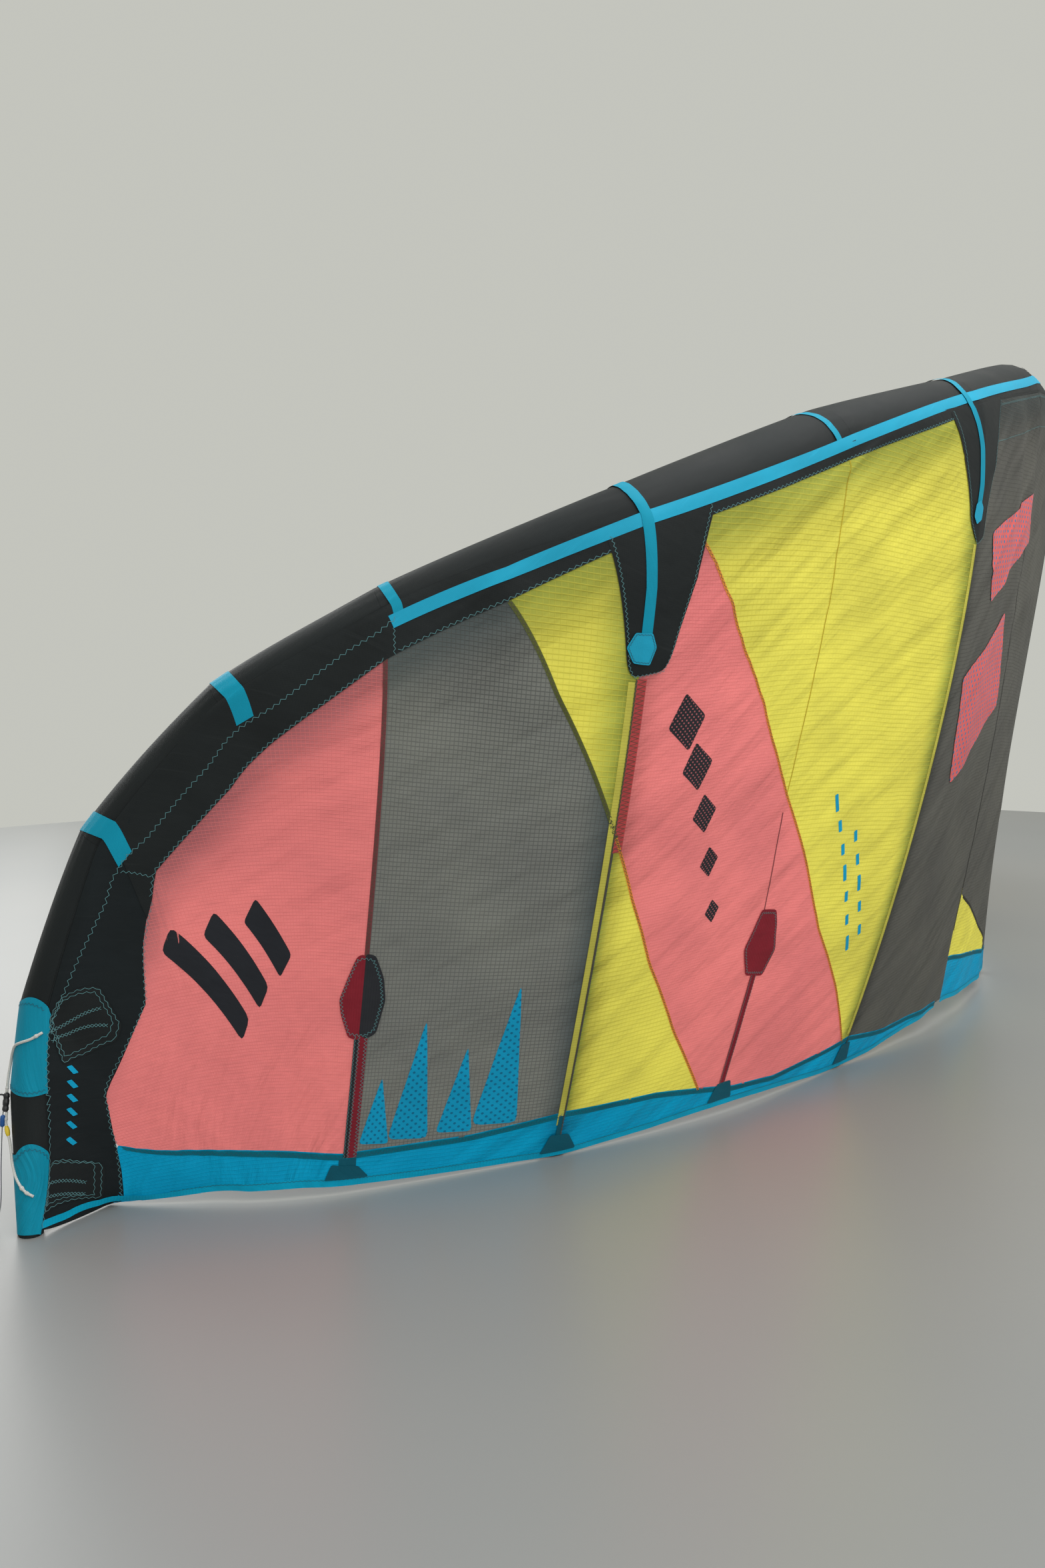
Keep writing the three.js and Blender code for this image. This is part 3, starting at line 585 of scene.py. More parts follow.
def pick(at, run, rows):
    """Rows at distances at, where run gives the distance of each row."""
    return np.stack([np.interp(at, run, column) for column in rows.T], -1)


def walk(line, step):
    """Points (u, w) along a line of (u, w) points, about step metres apart, and the distances."""
    count = len(line) - 1
    shares = np.linspace(0, count, WALK_PARTS * count + 1)
    dense = pick(shares, np.arange(count + 1), np.array(line, float))
    run = run_along(wrap(*dense.T))
    at = np.linspace(0, run[-1], max(int(round(run[-1] / step)), 2) + 1)
    return pick(at, run, dense), at


def beside(line, step, offsets):
    """The grid of (u, w) beside a line: one row for each point of the line."""
    path, at = walk(line, step)
    u, w = path.T
    side = side_of(u, w, np.gradient(wrap(u, w), axis=0))
    offsets = np.broadcast_to(offsets, (len(u), np.shape(offsets)[-1]))
    grid = path[:, None, :] + side[:, None, :] * offsets[..., None]
    return grid[..., 0], grid[..., 1], at, offsets


# Meshes.


def quads(rows, columns, closed=False):
    i = np.arange(rows - 1)[:, None]
    j = np.arange(columns if closed else columns - 1)[None, :]
    k = (j + 1) % columns
    a, b, c, d = i * columns + j, i * columns + k, (i + 1) * columns + k, (i + 1) * columns + j
    return np.stack(np.broadcast_arrays(a, b, c, d), -1).reshape(-1, 4)


class Shape:
    """Points, faces and cloth coordinates that become one piece."""

    def __init__(self):
        self.points, self.faces, self.uvs, self.shades, self.count = [], [], [], [], 0

    def add(self, points, faces, uv, shade=None):
        points = np.asarray(points).reshape(-1, 3)
        self.points.append(points)
        self.uvs.append(np.asarray(uv).reshape(-1, 2))
        self.faces += [[self.count + int(i) for i in face] for face in faces]
        self.shades.append(np.zeros(len(points)) if shade is None else np.ravel(shade))
        self.count += len(points)
        return self

    def grid(self, points, uv, closed=False, shade=None):
        return self.add(points, quads(*points.shape[:2], closed), uv, shade)


def mesh_of(name, shape, mirror):
    points, uv = np.concatenate(shape.points), np.concatenate(shape.uvs)
    points[:, 2] = np.maximum(points[:, 2], 0)
    faces = shape.faces
    if mirror:
        points = points * (-1, 1, 1)
        faces = [face[::-1] for face in faces]
    mesh = bpy.data.meshes.new(name)
    mesh.from_pydata(points.tolist(), [], faces)
    layer = mesh.uv_layers.new(name="UVMap")
    corners = np.zeros(len(mesh.loops), np.int32)
    mesh.loops.foreach_get("vertex_index", corners)
    layer.data.foreach_set("uv", uv[corners].astype(np.float32).ravel())
    shades = np.concatenate(shape.shades).astype(np.float32)
    # The painted shade of the struts and the tube behind the cloth, which the ripstop's colour reads.
    mesh.attributes.new("shade", "FLOAT", "POINT").data.foreach_set("value", shades)
    mesh.polygons.foreach_set("use_smooth", np.ones(len(mesh.polygons), bool))
    mesh.validate()
    return mesh


def piece(name, shape, material, node=None, mirror=False):
    made = put(name, mesh_of(name, shape, mirror))
    made.data.materials.append(material)
    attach(made, "root")
    if node:
        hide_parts(node)
    return made


def pair(name, shape, material, node=None):
    """The piece on both sides of the kite."""
    return [
        piece(f"{name}_{side}", shape, material, node and f"{node}_{side}", side == "right")
        for side in ("left", "right")
    ]


def polyline(points):
    x, y = np.array(points, float).T
    return lambda at: np.interp(at, x, y)


def constant(value):
    return lambda at: value + 0 * np.asarray(at, float)


def closed(outline):
    return [*outline, outline[0]]


def shrunk(outline, middle, share):
    """An outline moved a share of the way to its middle, or a share for u and one for w."""
    return np.array(outline) + (np.array(middle) - outline) * share


def cloth_grid(inner, outer, top, bottom, t0=0.0, t1=1.0, cell=0.014):
    """A grid of (u, v) between the lines inner and outer, which give stations at a share t of the
    way from the edge top(u) to the edge bottom(u)."""
    middle = 0.5 * (inner(0.5 * (t0 + t1)) + outer(0.5 * (t0 + t1)))
    height = chord(middle) * (t1 - t0) * (bottom(middle) - top(middle))
    t = np.linspace(t0, t1, int(max(height / cell, 2)) + 1)
    width = np.abs(metres_at(outer(t)) - metres_at(inner(t))).max()
    s = np.linspace(0, 1, int(max(width / cell, 2)) + 1)
    u = inner(t)[:, None] + (outer(t) - inner(t))[:, None] * s
    return u, top(u) + t[:, None] * (bottom(u) - top(u))


# How far the painted shade of a strut and of the tube reaches, in metres.
STRUT_SHADE = 0.10
TUBE_SHADE = 0.12


def painted_cloth_shade(u, v):
    """The painted shade on the cloth where a strut or the tube behind it blocks the light shining
    through; it reaches further on the tip side of a strut.
    """
    across = metres_at(u)
    shade = 0 * across
    for strut in STRUTS:
        away = np.abs(across) - REACH[strut]
        reach = STRUT_SHADE * (1 - 0.35 * v)
        tip_side = smooth(1 - away / reach) ** 0.8 * (away >= 0)
        other = smooth(1 + away / (reach * (1 if strut == 0 else 0.3))) * (away < 0)
        shade = np.maximum(shade, np.maximum(tip_side, other * 0.7))
    shade = shade * smooth((v - 0.03) / 0.08) * smooth((1.02 - v) / 0.08)
    behind = (along_at(v) - along_at(STRIP_LOW(np.abs(u)))) * chord(u)
    return np.maximum(shade, 0.85 * smooth(1 - behind / TUBE_SHADE) ** 1.3)


def cloth_uv(u, w):
    """The cloth's coordinates in metres, which go on round the tube where w is below 0."""
    across, up = cloth_place(u, np.clip(w, 0, 1))
    return np.stack([across, up - np.minimum(w, 0) * 0.4], -1)


def cloth_shape(u, w, lift, shape=None):
    shape = shape or Shape()
    return shape.grid(wrap(u, w, lift), cloth_uv(u, w), shade=painted_cloth_shade(u, np.clip(w, 0, 1)))


def ribbon_shape(shape, line, low, high, lift, columns=3, step=0.012):
    """A flat strip on the surface, from low to high metres beside a line of (u, w) points. Its lift
    is metres, or a function of the share of the line's length and of w."""
    u, w, run, offsets = beside(line, step, np.linspace(low, high, columns))
    if callable(lift):
        lift = lift(run / run[-1], w[:, columns // 2])[:, None]
    return shape.grid(wrap(u, w, lift), np.stack(np.broadcast_arrays(run[:, None], offsets), -1))


def patch_shape(shape, outline, lift, rings=7, sides=64, rounds=1):
    """A flat patch inside an outline of (u, w) points, which is seen whole from its centre."""
    rim = np.array(closed(outline), float)
    run = run_along(wrap(*rim.T))
    rim = pick(np.linspace(0, run[-1], sides, endpoint=False), run, rim)
    for _ in range(rounds):
        rim = (np.roll(rim, 1, 0) + 2 * rim + np.roll(rim, -1, 0)) / 4
    centre = rim.mean(0)
    grid = centre + (rim - centre) * np.linspace(0.001, 1, rings)[:, None, None]
    u, w = grid[..., 0], grid[..., 1]
    return shape.grid(wrap(u, w, lift), cloth_uv(u, w), closed=True)


THREAD = 0.0009


def stitch(shape, line, pitch, sway, offset=0.0, lift=0.004, phase=1):
    """A row of thread along a line: sway metres from side to side of it, turning each half pitch."""
    count = len(walk(line, pitch / 2)[1])
    turns = phase * np.where(np.arange(count) % 2, 1.0, -1.0) * sway / 2
    u, w, run, _ = beside(line, pitch / 2, (offset + turns)[:, None])
    u, w = u[:, 0], w[:, 0]
    points = wrap(u, w, lift)
    start, end = points[:-1], points[1:]
    side = unit(np.cross(slants(u, w)[2][:-1], end - start)) * THREAD / 2
    corners = np.stack([start - side, start + side, end + side, end - side], 1)
    uv = np.zeros((count - 1, 4, 2))
    uv[..., 1] = np.stack([run[:-1], run[:-1], run[1:], run[1:]], 1)
    return shape.add(corners, np.arange(4 * count - 4).reshape(-1, 4), uv)


make_camera()
make_lights()
make_floor()


# Cords at the tips.

CLIP_LENGTH = 0.034
CLIP_STATION = 9.05
CLIP_TURN = -100
CLIP_LIFT = 0.0076
CORD = 0.005
CORD_ABOVE = CORD / 2 + 0.0007
CORD_LEAD = 0.019
CORD_ENDS = 0.0028
THIN_LINE = 0.002
THIN_START = 0.0035
JOINT = 0.0003
KNOT_CUT = 0.12
# station number, turn in degrees on the tube, and extra lift
UPPER_WAY = [(8.26, -4, 0), (8.3, -14, 0), (8.35, -27, 0), (8.4, -48, 0), (8.45, -69, 0),
             (8.52, -84, 0), (8.62, -96, 0.001)]
LOWER_WAY = [(9.72, -20, 0), (9.68, -46, 0), (9.6, -72, 0), (9.5, -92, 0), (9.35, -99, 0.001)]
# millimetres from the place where the thin line hangs free, and metres above the floor
LINE_FLOOR = THIN_LINE / 2 + 0.0005
LINE_WAY = [(-1, 6, 0.12), (-2, 10, 0.04), (-4, 18, 0.012), (-7, 32, 0.003),
            (-10, 45, LINE_FLOOR), (-20, 80, LINE_FLOOR), (-45, 125, LINE_FLOOR)]


def on_tube(u, degrees, lift):
    return around(section(np.array(float(u))), np.radians(degrees), lift)


def mixed(a, b, start, end, t):
    """From a where t is start to b where t is end."""
    return ((end - t) * a + (t - start) * b) / (end - start)


def catmull(points, count):
    """A centripetal spline through the points, at even distances, and its length."""
    p = np.array(points, float)
    p = np.concatenate([[2 * p[0] - p[1]], p, [2 * p[-1] - p[-2]]])
    dense = []
    for i in range(1, len(p) - 2):
        four = p[i - 1 : i + 3]
        gaps = np.maximum(np.linalg.norm(np.diff(four, axis=0), axis=1) ** 0.5, 1e-6)
        at = np.concatenate([[0], np.cumsum(gaps)])
        t = np.linspace(at[1], at[2], 60)[:, None]
        near = [mixed(four[k], four[k + 1], at[k], at[k + 1], t) for k in range(3)]
        far = [mixed(near[k], near[k + 1], at[k], at[k + 2], t) for k in range(2)]
        dense.append(mixed(*far, at[1], at[2], t))
    dense = np.concatenate(dense)
    run = run_along(dense)
    return pick(np.linspace(0, run[-1], count), run, dense), run[-1]


CLIP = section(np.array(CLIP_STATION))
CLIP_CENTRE = on_tube(CLIP_STATION, CLIP_TURN, CLIP_LIFT)
CLIP_OUT = unit(CLIP_CENTRE - CLIP.le - CLIP.along * dot(CLIP.along, CLIP_CENTRE - CLIP.le))
CLIP_START, CLIP_END = (CLIP_CENTRE + CLIP.along * way * (CLIP_LENGTH / 2 + JOINT) for way in (-1, 1))


def white_route(way, end, lead):
    """A white cord's way from the tube to an end of the connector."""
    route = [on_tube(u, turn, CORD_ABOVE + more) for u, turn, more in way]
    return catmull(route + [end + CLIP.along * lead, end], 40)


def line_route():
    start = CLIP_END + THIN_START * CLIP_OUT
    drop = start + CLIP.along * 0.012
    lower = [(drop[0] + x / 1000, drop[1] + y / 1000, z) for x, y, z in LINE_WAY]
    return catmull([start, drop, *lower], 60)


def pipe(shape, points, radius, sides=12):
    """A round tube along points, with cloth coordinates round it and along it."""
    points = np.asarray(points, float)
    ahead = unit(np.gradient(points, axis=0))
    side = unit(np.cross(ahead[0], (0.3, 0.2, 0.9)))
    sides_at = []
    for direction in ahead:
        side = unit(side - direction * dot(side, direction))
        sides_at.append(side)
    side = np.array(sides_at)[:, None]
    up = np.cross(ahead[:, None], side)
    turn = np.linspace(0, 2 * np.pi, sides, endpoint=False)[None, :, None]
    radius = np.broadcast_to(radius, len(points))[:, None, None]
    rings = points[:, None] + radius * (side * np.cos(turn) + up * np.sin(turn))
    uv = np.broadcast_arrays(turn[..., 0] * radius[..., 0], run_along(points)[:, None])
    first = shape.count
    shape.grid(rings, np.stack(uv, -1), closed=True)
    shape.faces.append([first + i for i in range(sides)][::-1])
    shape.faces.append([shape.count - sides + i for i in range(sides)])
    return shape


def ball(shape, centre, radius, axis, stretch, sides=14, rows=9):
    """A rounded knot or bead along an axis."""
    turn = np.linspace(KNOT_CUT, np.pi - KNOT_CUT, rows)
    points = centre - unit(axis) * (np.cos(turn) * radius * stretch)[:, None]
    return pipe(shape, points, radius * np.sin(turn), sides)


def knots(name, points, places, stretch):
    """Knots along a cord: the point where each is, and its size beside the cord's."""
    shape = Shape()
    for index, size in places:
        ball(shape, points[index], CORD / 2 * size, points[index] - points[index - 1], stretch)
    return pair(name, shape, WHITE_CORD)


def make_clip():
    """The connector: a ribbed barrel with a hook and two round ears."""
    along, out = CLIP.along, CLIP_OUT
    body = Shape()
    places = np.array([0.25, 0.3, 0.5, 0.55, 0.8, 0.94, 1])
    widths = np.array([1, 0.88, 0.88, 1, 1, 0.8, 0.55])
    places = np.concatenate([-places[::-1], places]) * CLIP_LENGTH / 2
    widths = np.concatenate([widths[::-1], widths]) * 0.0057
    pipe(body, CLIP_CENTRE + along * places[:, None], widths, 20)
    turn = np.radians(np.linspace(-60, 215, 22))[:, None]
    hook_centre = CLIP_CENTRE + out * 0.0095 - along * 0.006
    pipe(body, hook_centre + 0.008 * (np.cos(turn) * out - np.sin(turn) * along), 0.0016, 10)
    side = np.cross(along, out)
    for shift in (-0.0045, 0.0045):
        ball(body, CLIP_CENTRE + side * shift, 0.0042, side, 0.5)
    return pair("clip", body, BLACK_PLASTIC, "connector")


def cord_pair(name, node, route, radius, material):
    points, length = route
    made = pair(name, pipe(Shape(), points, radius, 10), material, node)


def make_cords():
    upper = white_route(UPPER_WAY, CLIP_START, -CORD_LEAD)
    lower = white_route(LOWER_WAY, CLIP_END - CORD_ENDS * CLIP_OUT, CORD_LEAD)
    line = line_route()
    clips = make_clip()
    upper_knots = knots("knots_upper", upper[0], [(3, 1.5), (37, 1.35)], 1.3)
    lower_knots = knots("knots_lower", lower[0], [(3, 1.4), (6, 1.55), (36, 1.4)], 1.4)
    points = lower[0]
    tab = ball(Shape(), points[31], 0.0045, points[30] - points[33], 2.6)
    tabs = pair("tab_yellow", tab, YELLOW_PLASTIC)
    points = line[0]
    shares = np.array([0, 0.08, 0.2, 0.8, 0.92, 1])[:, None]
    widths = 0.0045 * np.array([0.5, 0.85, 1, 1, 0.85, 0.5])
    bead = pipe(Shape(), points[1] + (points[5] - points[1]) * shares, widths, 16)
    beads = pair("bead_blue", bead, BLUE_PLASTIC)
    knot = ball(Shape(), points[-1] + (0, 0, 0.0006), 0.0026, points[-1] - points[-2], 1.3)
    end_knots = pair("knot_thin_line", knot, THIN_CORD)
    cord_pair("rope_upper", "cord_upper", upper, CORD / 2, WHITE_CORD)
    cord_pair("rope_lower", "cord_lower", lower, CORD / 2, WHITE_CORD)
    cord_pair("line_thin", "thin_line", line, THIN_LINE / 2, THIN_CORD)


# The leading edge tube and the struts.

GORES = [(1, 2), (2, 3), (3, 4), (4, 5), (5, 6), (6, 7), (7, TIP)]
GORE_SIDES = 64
STRUT_SIDES = 40
STRUT_FRONT, STRUT_REAR = 0.046, 0.030
MIDDLE_FOOT = 0.018
FOOT_RISE = 0.006


def gore_shape(a, b):
    share = np.linspace(0, 1, int((metres_at(b) - metres_at(a)) / 0.016) + 2)
    u = a + (b - a) * 0.5 * (share + smooth(share))
    s = section(u)
    turn = s.leaving + np.linspace(0, 2 * np.pi, GORE_SIDES, endpoint=False)
    u = np.broadcast_to(u[:, None], turn.shape)
    points = on_round(u, turn, np.zeros(u.shape))
    points[0] += s.along[0] * JOINT / 2
    points[-1] -= s.along[-1] * JOINT / 2
    if b == TIP:
        points[-1] -= s.along[-1] * (points[-1][:, 2:] / s.along[-1][2])
    shape = Shape().grid(points, np.stack([metres_at(u), turn * 0.08], -1), closed=True)
    for ring, order in ((points[0], -1), (points[-1], 1)):
        caps = np.concatenate([ring, ring.mean(0)[None]])
        faces = [[i, (i + 1) % GORE_SIDES, GORE_SIDES][::order] for i in range(GORE_SIDES)]
        shape.add(caps, faces, caps[:, :2])
    return shape


def strut_shape(station, foot):
    """A strut under the cloth, a little gathered along its seams, with its foot cut level."""
    v = np.concatenate([np.linspace(0.045, 0.97, 90), [0.985, 1.0]])
    u = np.full(v.shape, float(station))
    normal = canopy_normal(u, v)
    side = unit(np.cross(normal, -unit(np.cross(section(u).along, normal))))
    radius = (STRUT_FRONT + (STRUT_REAR - STRUT_FRONT) * v)[:, None]
    sewn = 1 + 0.012 * np.cos(v * 60)[:, None]
    centre = canopy(u, v) - normal * (radius + JOINT)
    turn = np.linspace(0, 2 * np.pi, STRUT_SIDES, endpoint=False)[None, :, None]
    out = normal[:, None] * np.cos(turn) + side[:, None] * np.sin(turn)
    ring = centre[:, None] + (radius * sewn * 0.985)[:, None] * out
    axis = unit(centre[-1] - centre[-3])
    for row, level in ((-2, foot + FOOT_RISE), (-1, foot)):
        ring[row] += axis * ((level - ring[row][:, 2:]) / axis[2])
    uv = np.broadcast_arrays(cloth_place(u, v)[1][:, None], turn[0, :, 0] * 0.04)
    shape = Shape().grid(ring, np.stack(uv, -1), closed=True)
    shape.faces.append([shape.count - STRUT_SIDES + i for i in range(STRUT_SIDES)])
    shape.faces.append([i for i in range(STRUT_SIDES)][::-1])
    return shape


def make_tubes():
    tubes = [piece("gore_middle", gore_shape(-1, 1), BLACK, "tube_middle")]
    for a, b in GORES:
        tubes += pair(f"gore_{a}", gore_shape(a, b), BLACK, f"tube_{a}")
    for station in (4, 2):
        tubes += pair(f"strut_tube_{station}", strut_shape(station, 0), BLACK, f"strut_{station}")
    tubes.append(piece("strut_tube_middle", strut_shape(0, MIDDLE_FOOT), BLACK, "strut_middle"))


make_cords()
make_tubes()


# The canopy's panels.

# Edges give shares of the chord at stations, and seams give stations at shares of the height
# between the tube and the blue band.

BLACK_EDGE = polyline([(6.7, 0.01), (6.8, 0.32), (7.22, 0.494), (8.23, 0.5), (8.57, 0.6),
                       (9.02, 0.752), (9.53, 0.916), (10, 1)])
BAND_TOP = polyline([
    (1, 0.995), (1.63, 0.981), (2, 0.962), (2.67, 0.984), (3, 0.981), (3.52, 0.954), (4, 0.94),
    (4.42, 0.953), (5.07, 0.956), (5.46, 0.951), (5.91, 0.945), (6.28, 0.936), (6.62, 0.926),
    (6.95, 0.914), (7.35, 0.895), (7.72, 0.868), (7.97, 0.837), (8.26, 0.8), (8.51, 0.75),
    (8.72, 0.68), (9.02, 0.752), (9.53, 0.916), (10, 1),
])
BAND_TOP_MIDDLE = polyline([(0, 0.972), (0.94, 0.942)])
STRIP_LOW = polyline([
    (0, 0.02), (1.04, 0.02), (1.74, 0.022), (2.26, 0.029), (2.42, 0.037), (3.03, 0.057),
    (3.75, 0.061), (4.13, 0.076), (4.5, 0.122), (4.95, 0.152), (5.36, 0.19), (5.73, 0.221),
    (5.9, 0.243), (6.02, 0.267), (6.3, 0.276), (6.7, 0.285), (6.79, 0.335), (6.9, 0.37),
])
TUBE_EDGE, CANOPY_END = constant(0.0), constant(1.0)
GREY_SEAM = constant(5.0)
DIAGONAL_SEAM = polyline([(0, 4.62), (0.35, 4.3), (0.6, 4)])
WEDGE_SEAM = polyline([(0.6, 4), (0.7, 3.88), (0.8, 3.73), (0.91, 3.5), (1, 3.24)])
WAVE_SEAM = polyline([(0, 3.9), (0.22, 3.7), (0.35, 3.57), (0.52, 3.29), (0.6, 3.13), (0.7, 2.88),
                      (0.8, 2.65), (0.91, 2.31), (1, 2.06)])
MIDDLE_SEAM = polyline([(0, 1), (0.28, 0.94), (1, 0.94)])
FOOT_SEAM = polyline([(0.91, 0.94), (1, 0.1)])
FIRST_STRUT, SECOND_STRUT, MIDDLE = constant(4.0), constant(2.0), constant(0.0)
CORAL_END, BLACK_START, BLACK_FINISH = constant(8.7), constant(6.72), constant(9.96)
BAND_START, BAND_FINISH = 1.03, 9.9
APEX, FOOT_TOP = 0.6, 0.91
CLOTH_LIFT = 0.0012
BAND_LIFT = CLOTH_LIFT + 0.0002
TIP_LIFT = CLOTH_LIFT + 0.0004
SEAM_LAP = 0.005
SAILS = {}


def grey_inner(t):
    return np.where(t < APEX, DIAGONAL_SEAM(t), FIRST_STRUT(t))


def wave_outer(t):
    return np.where(t < APEX, FIRST_STRUT(t), WEDGE_SEAM(t))


def dark_outer(t):
    return np.where(t < FOOT_TOP, MIDDLE_SEAM(t), FOOT_SEAM(t))


# name, inner seam, outer seam, top edge, bottom edge, first and last share, cloth
PANELS = [
    ("tip_black", BLACK_START, BLACK_FINISH, TUBE_EDGE, BLACK_EDGE, 0, 1, BLACK_CLOTH),
    ("tip_coral", GREY_SEAM, CORAL_END, BLACK_EDGE, BAND_TOP, 0, 1, CORAL),
    ("grey", grey_inner, GREY_SEAM, TUBE_EDGE, BAND_TOP, 0, 1, GREY),
    ("yellow_upper", FIRST_STRUT, DIAGONAL_SEAM, TUBE_EDGE, BAND_TOP, 0, 0.597, YELLOW),
    ("yellow_wedge", WEDGE_SEAM, FIRST_STRUT, TUBE_EDGE, BAND_TOP, 0.603, 1, YELLOW),
    ("coral_wave", WAVE_SEAM, wave_outer, TUBE_EDGE, BAND_TOP, 0, 1, CORAL),
    ("yellow_main", SECOND_STRUT, WAVE_SEAM, TUBE_EDGE, BAND_TOP, 0, 1, YELLOW),
    ("dark_outer", MIDDLE_SEAM, SECOND_STRUT, TUBE_EDGE, BAND_TOP, 0, 1, DARK),
    ("dark_inner", MIDDLE, dark_outer, TUBE_EDGE, BAND_TOP_MIDDLE, 0, 1, DARK),
    ("yellow_foot", FOOT_SEAM, MIDDLE_SEAM, TUBE_EDGE, BAND_TOP_MIDDLE, 0.912, 1, YELLOW),
]
BANDS = [
    ("tip", FIRST_STRUT, constant(BAND_FINISH), BAND_TOP),
    ("bays", constant(BAND_START), FIRST_STRUT, BAND_TOP),
    ("middle", MIDDLE, constant(0.94), BAND_TOP_MIDDLE),
]


def below(edge, size):
    """An edge moved size metres towards the rear."""
    return lambda u: edge(u) + size / chord(u)


def lapped(edge, size):
    """An edge moved size metres towards the rear, and kept on the cloth."""
    return lambda u: np.clip(below(edge, size)(u), 0, 1)


def make_panels():
    for name, inner, outer, top, bottom, t0, t1, cloth in PANELS:
        lift = CLOTH_LIFT
        if name == "tip_black":
            bottom, lift = lapped(bottom, SEAM_LAP), TIP_LIFT
        shape = cloth_shape(*cloth_grid(inner, outer, top, bottom, t0, t1), lift)
        made = pair(f"sail_{name}", shape, cloth, f"panel_{name}")
        SAILS[name] = (made, shape, "gore_4" if inner(0.5) > 2 else "gore_1")
    for name, inner, outer, top in BANDS:
        grid = cloth_grid(inner, outer, lapped(top, -SEAM_LAP), CANOPY_END)
        shape = cloth_shape(*grid, BAND_LIFT)
        made = pair(f"edge_{name}", shape, BLUE, f"band_{name}")
        SAILS[f"band_{name}"] = (made, shape, "strut_tube_4" if outer(0.5) > 1 else "gore_1")


make_panels()


# Sewn trims. Each belongs to a panel, and lies on its outer side.

# A lift is how far a trim's face is from the canopy's inner surface, or from the tube.

LAP_LIFT = 0.002
PRINT_LIFT = 0.0018
HEM_LIFT = 0.0019
JOINT_LIFT = 0.0015
STRIP_LIFT = 0.0027
SLEEVE_LIFT = 0.003
PATCH_LIFT = 0.0032
PAD_LIFT = 0.0034
STRAP_END_LIFT = 0.0056
SEWN_LAP = 0.0026
SEWN_STRIP = 0.003
SEWN_SLEEVE = 0.0038
SEWN_PATCH = 0.004
SEWN_PAD = 0.0042
SEWN_STRAP = 0.006
INNER_TURN = -200
SEWN = {name: [] for name in SAILS}


def sew(panel, name, shape, material):
    SEWN[panel].append(pair(name, shape, material))


def w_at(u, degrees):
    """The place w of an angle on the tube, in degrees from its outermost line."""
    s = section(np.asarray(u, float))
    turn = np.radians(degrees)[..., None] - s.leaving
    return (turn * s.radius / (3 * s.free))[..., 0]


def on_turns(stations, degrees):
    """Points (u, w) at stations and angles on the tube."""
    stations = np.broadcast_to(np.array(stations, float), len(degrees))
    return list(zip(stations, w_at(stations, np.array(degrees, float))))


def between(shape, low, high, top, bottom, lift, rows=3, step=0.014):
    """A strip of surface between stations low and high, from place top(u) to place bottom(u)."""
    reach = metres_at(np.array([low, high]))
    u = station_at(np.linspace(*reach, int((reach[1] - reach[0]) / step) + 2))
    w = top(u) + (bottom(u) - top(u)) * np.linspace(0, 1, rows)[:, None]
    return cloth_shape(u + 0 * w, w, lift, shape)


def round_band(shape, low, high, last, columns=9):
    """Cloth round the tube to place last(u), between stations low(t) and high(t)."""
    t = np.linspace(0, 1, 48)[:, None]
    u = low(t) + (high(t) - low(t)) * np.linspace(0, 1, columns)
    w = w_at(u, np.full(u.shape, INNER_TURN))
    w = w + (last(u) - w) * t
    lifts = JOINT_LIFT + np.interp(w, (-0.07, -0.03), (0, 0.0016))
    return shape.grid(wrap(u, w, lifts), np.stack([metres_at(u), w * 0.4], -1))


def seam_line(seam, t0, t1, bottom):
    t = np.linspace(t0, t1, 30)
    return np.stack([seam(t), t * bottom(seam(t))], -1)


def badge(shape, at, outline, turn, lift):
    """A shape sewn or printed at a place (u, w), with its outline in metres."""
    turn = np.radians(turn)
    x, y = np.array(outline, float).T
    p, q = x * np.cos(turn) - y * np.sin(turn), x * np.sin(turn) + y * np.cos(turn)
    across, up = cloth_place(*at)
    outline = np.stack(station_place(across + p, up + q), -1)
    return patch_shape(shape, outline, lift, 5, 48)


def bar(length, width, slant=0.0):
    a, b = length / 2, width / 2
    return [(-a - slant, -b), (a - slant, -b), (a + slant, b), (-a + slant, b)]


LE_SEAM = [
    (9.95, 0.05), (9.53, 0.045), (9.28, 0.04), (9.05, 0.036), (8.61, 0.034), (8.25, 0.042),
    (7.94, 0.105), (7.34, 0.18), (7.14, 0.197), (6.85, 0.169), (6.67, 0.184), (6.39, 0.173),
    (6.15, 0.167), (5.9, 0.133), (5.68, 0.128), (5.48, 0.109), (5.22, 0.079), (5.02, 0.07),
    (4.95, 0.051),
]
BLACK_INNER = [
    (6.8, 0.335), (7.21, 0.492), (7.38, 0.5), (8, 0.494), (8.22, 0.5), (8.37, 0.543),
    (8.56, 0.592), (8.69, 0.65), (9.01, 0.745), (9.52, 0.91),
]
STRIPE = [(4.97, 0.057), (4.5, 0.047), (4, 0.004), (3, -0.002), (2.4, -0.026), (2.05, -0.037),
          (1.24, -0.055), (0, -0.1)]
STRIPE_HALF = 0.012
RIDGE_SEAM = [(0, 0.118), (0.76, 0.116), (1.57, 0.122), (1.86, 0.119)]
LE_SEAM_AT = polyline(LE_SEAM[::-1])


def strip_line(low, high):
    u = np.linspace(low, high, 80)
    return np.stack([u, STRIP_LOW(u)], -1)


def stripe_lift(share, w):
    return np.interp(w, (-0.04, -0.02), (0.0016, 0.0036)) + 0 * share


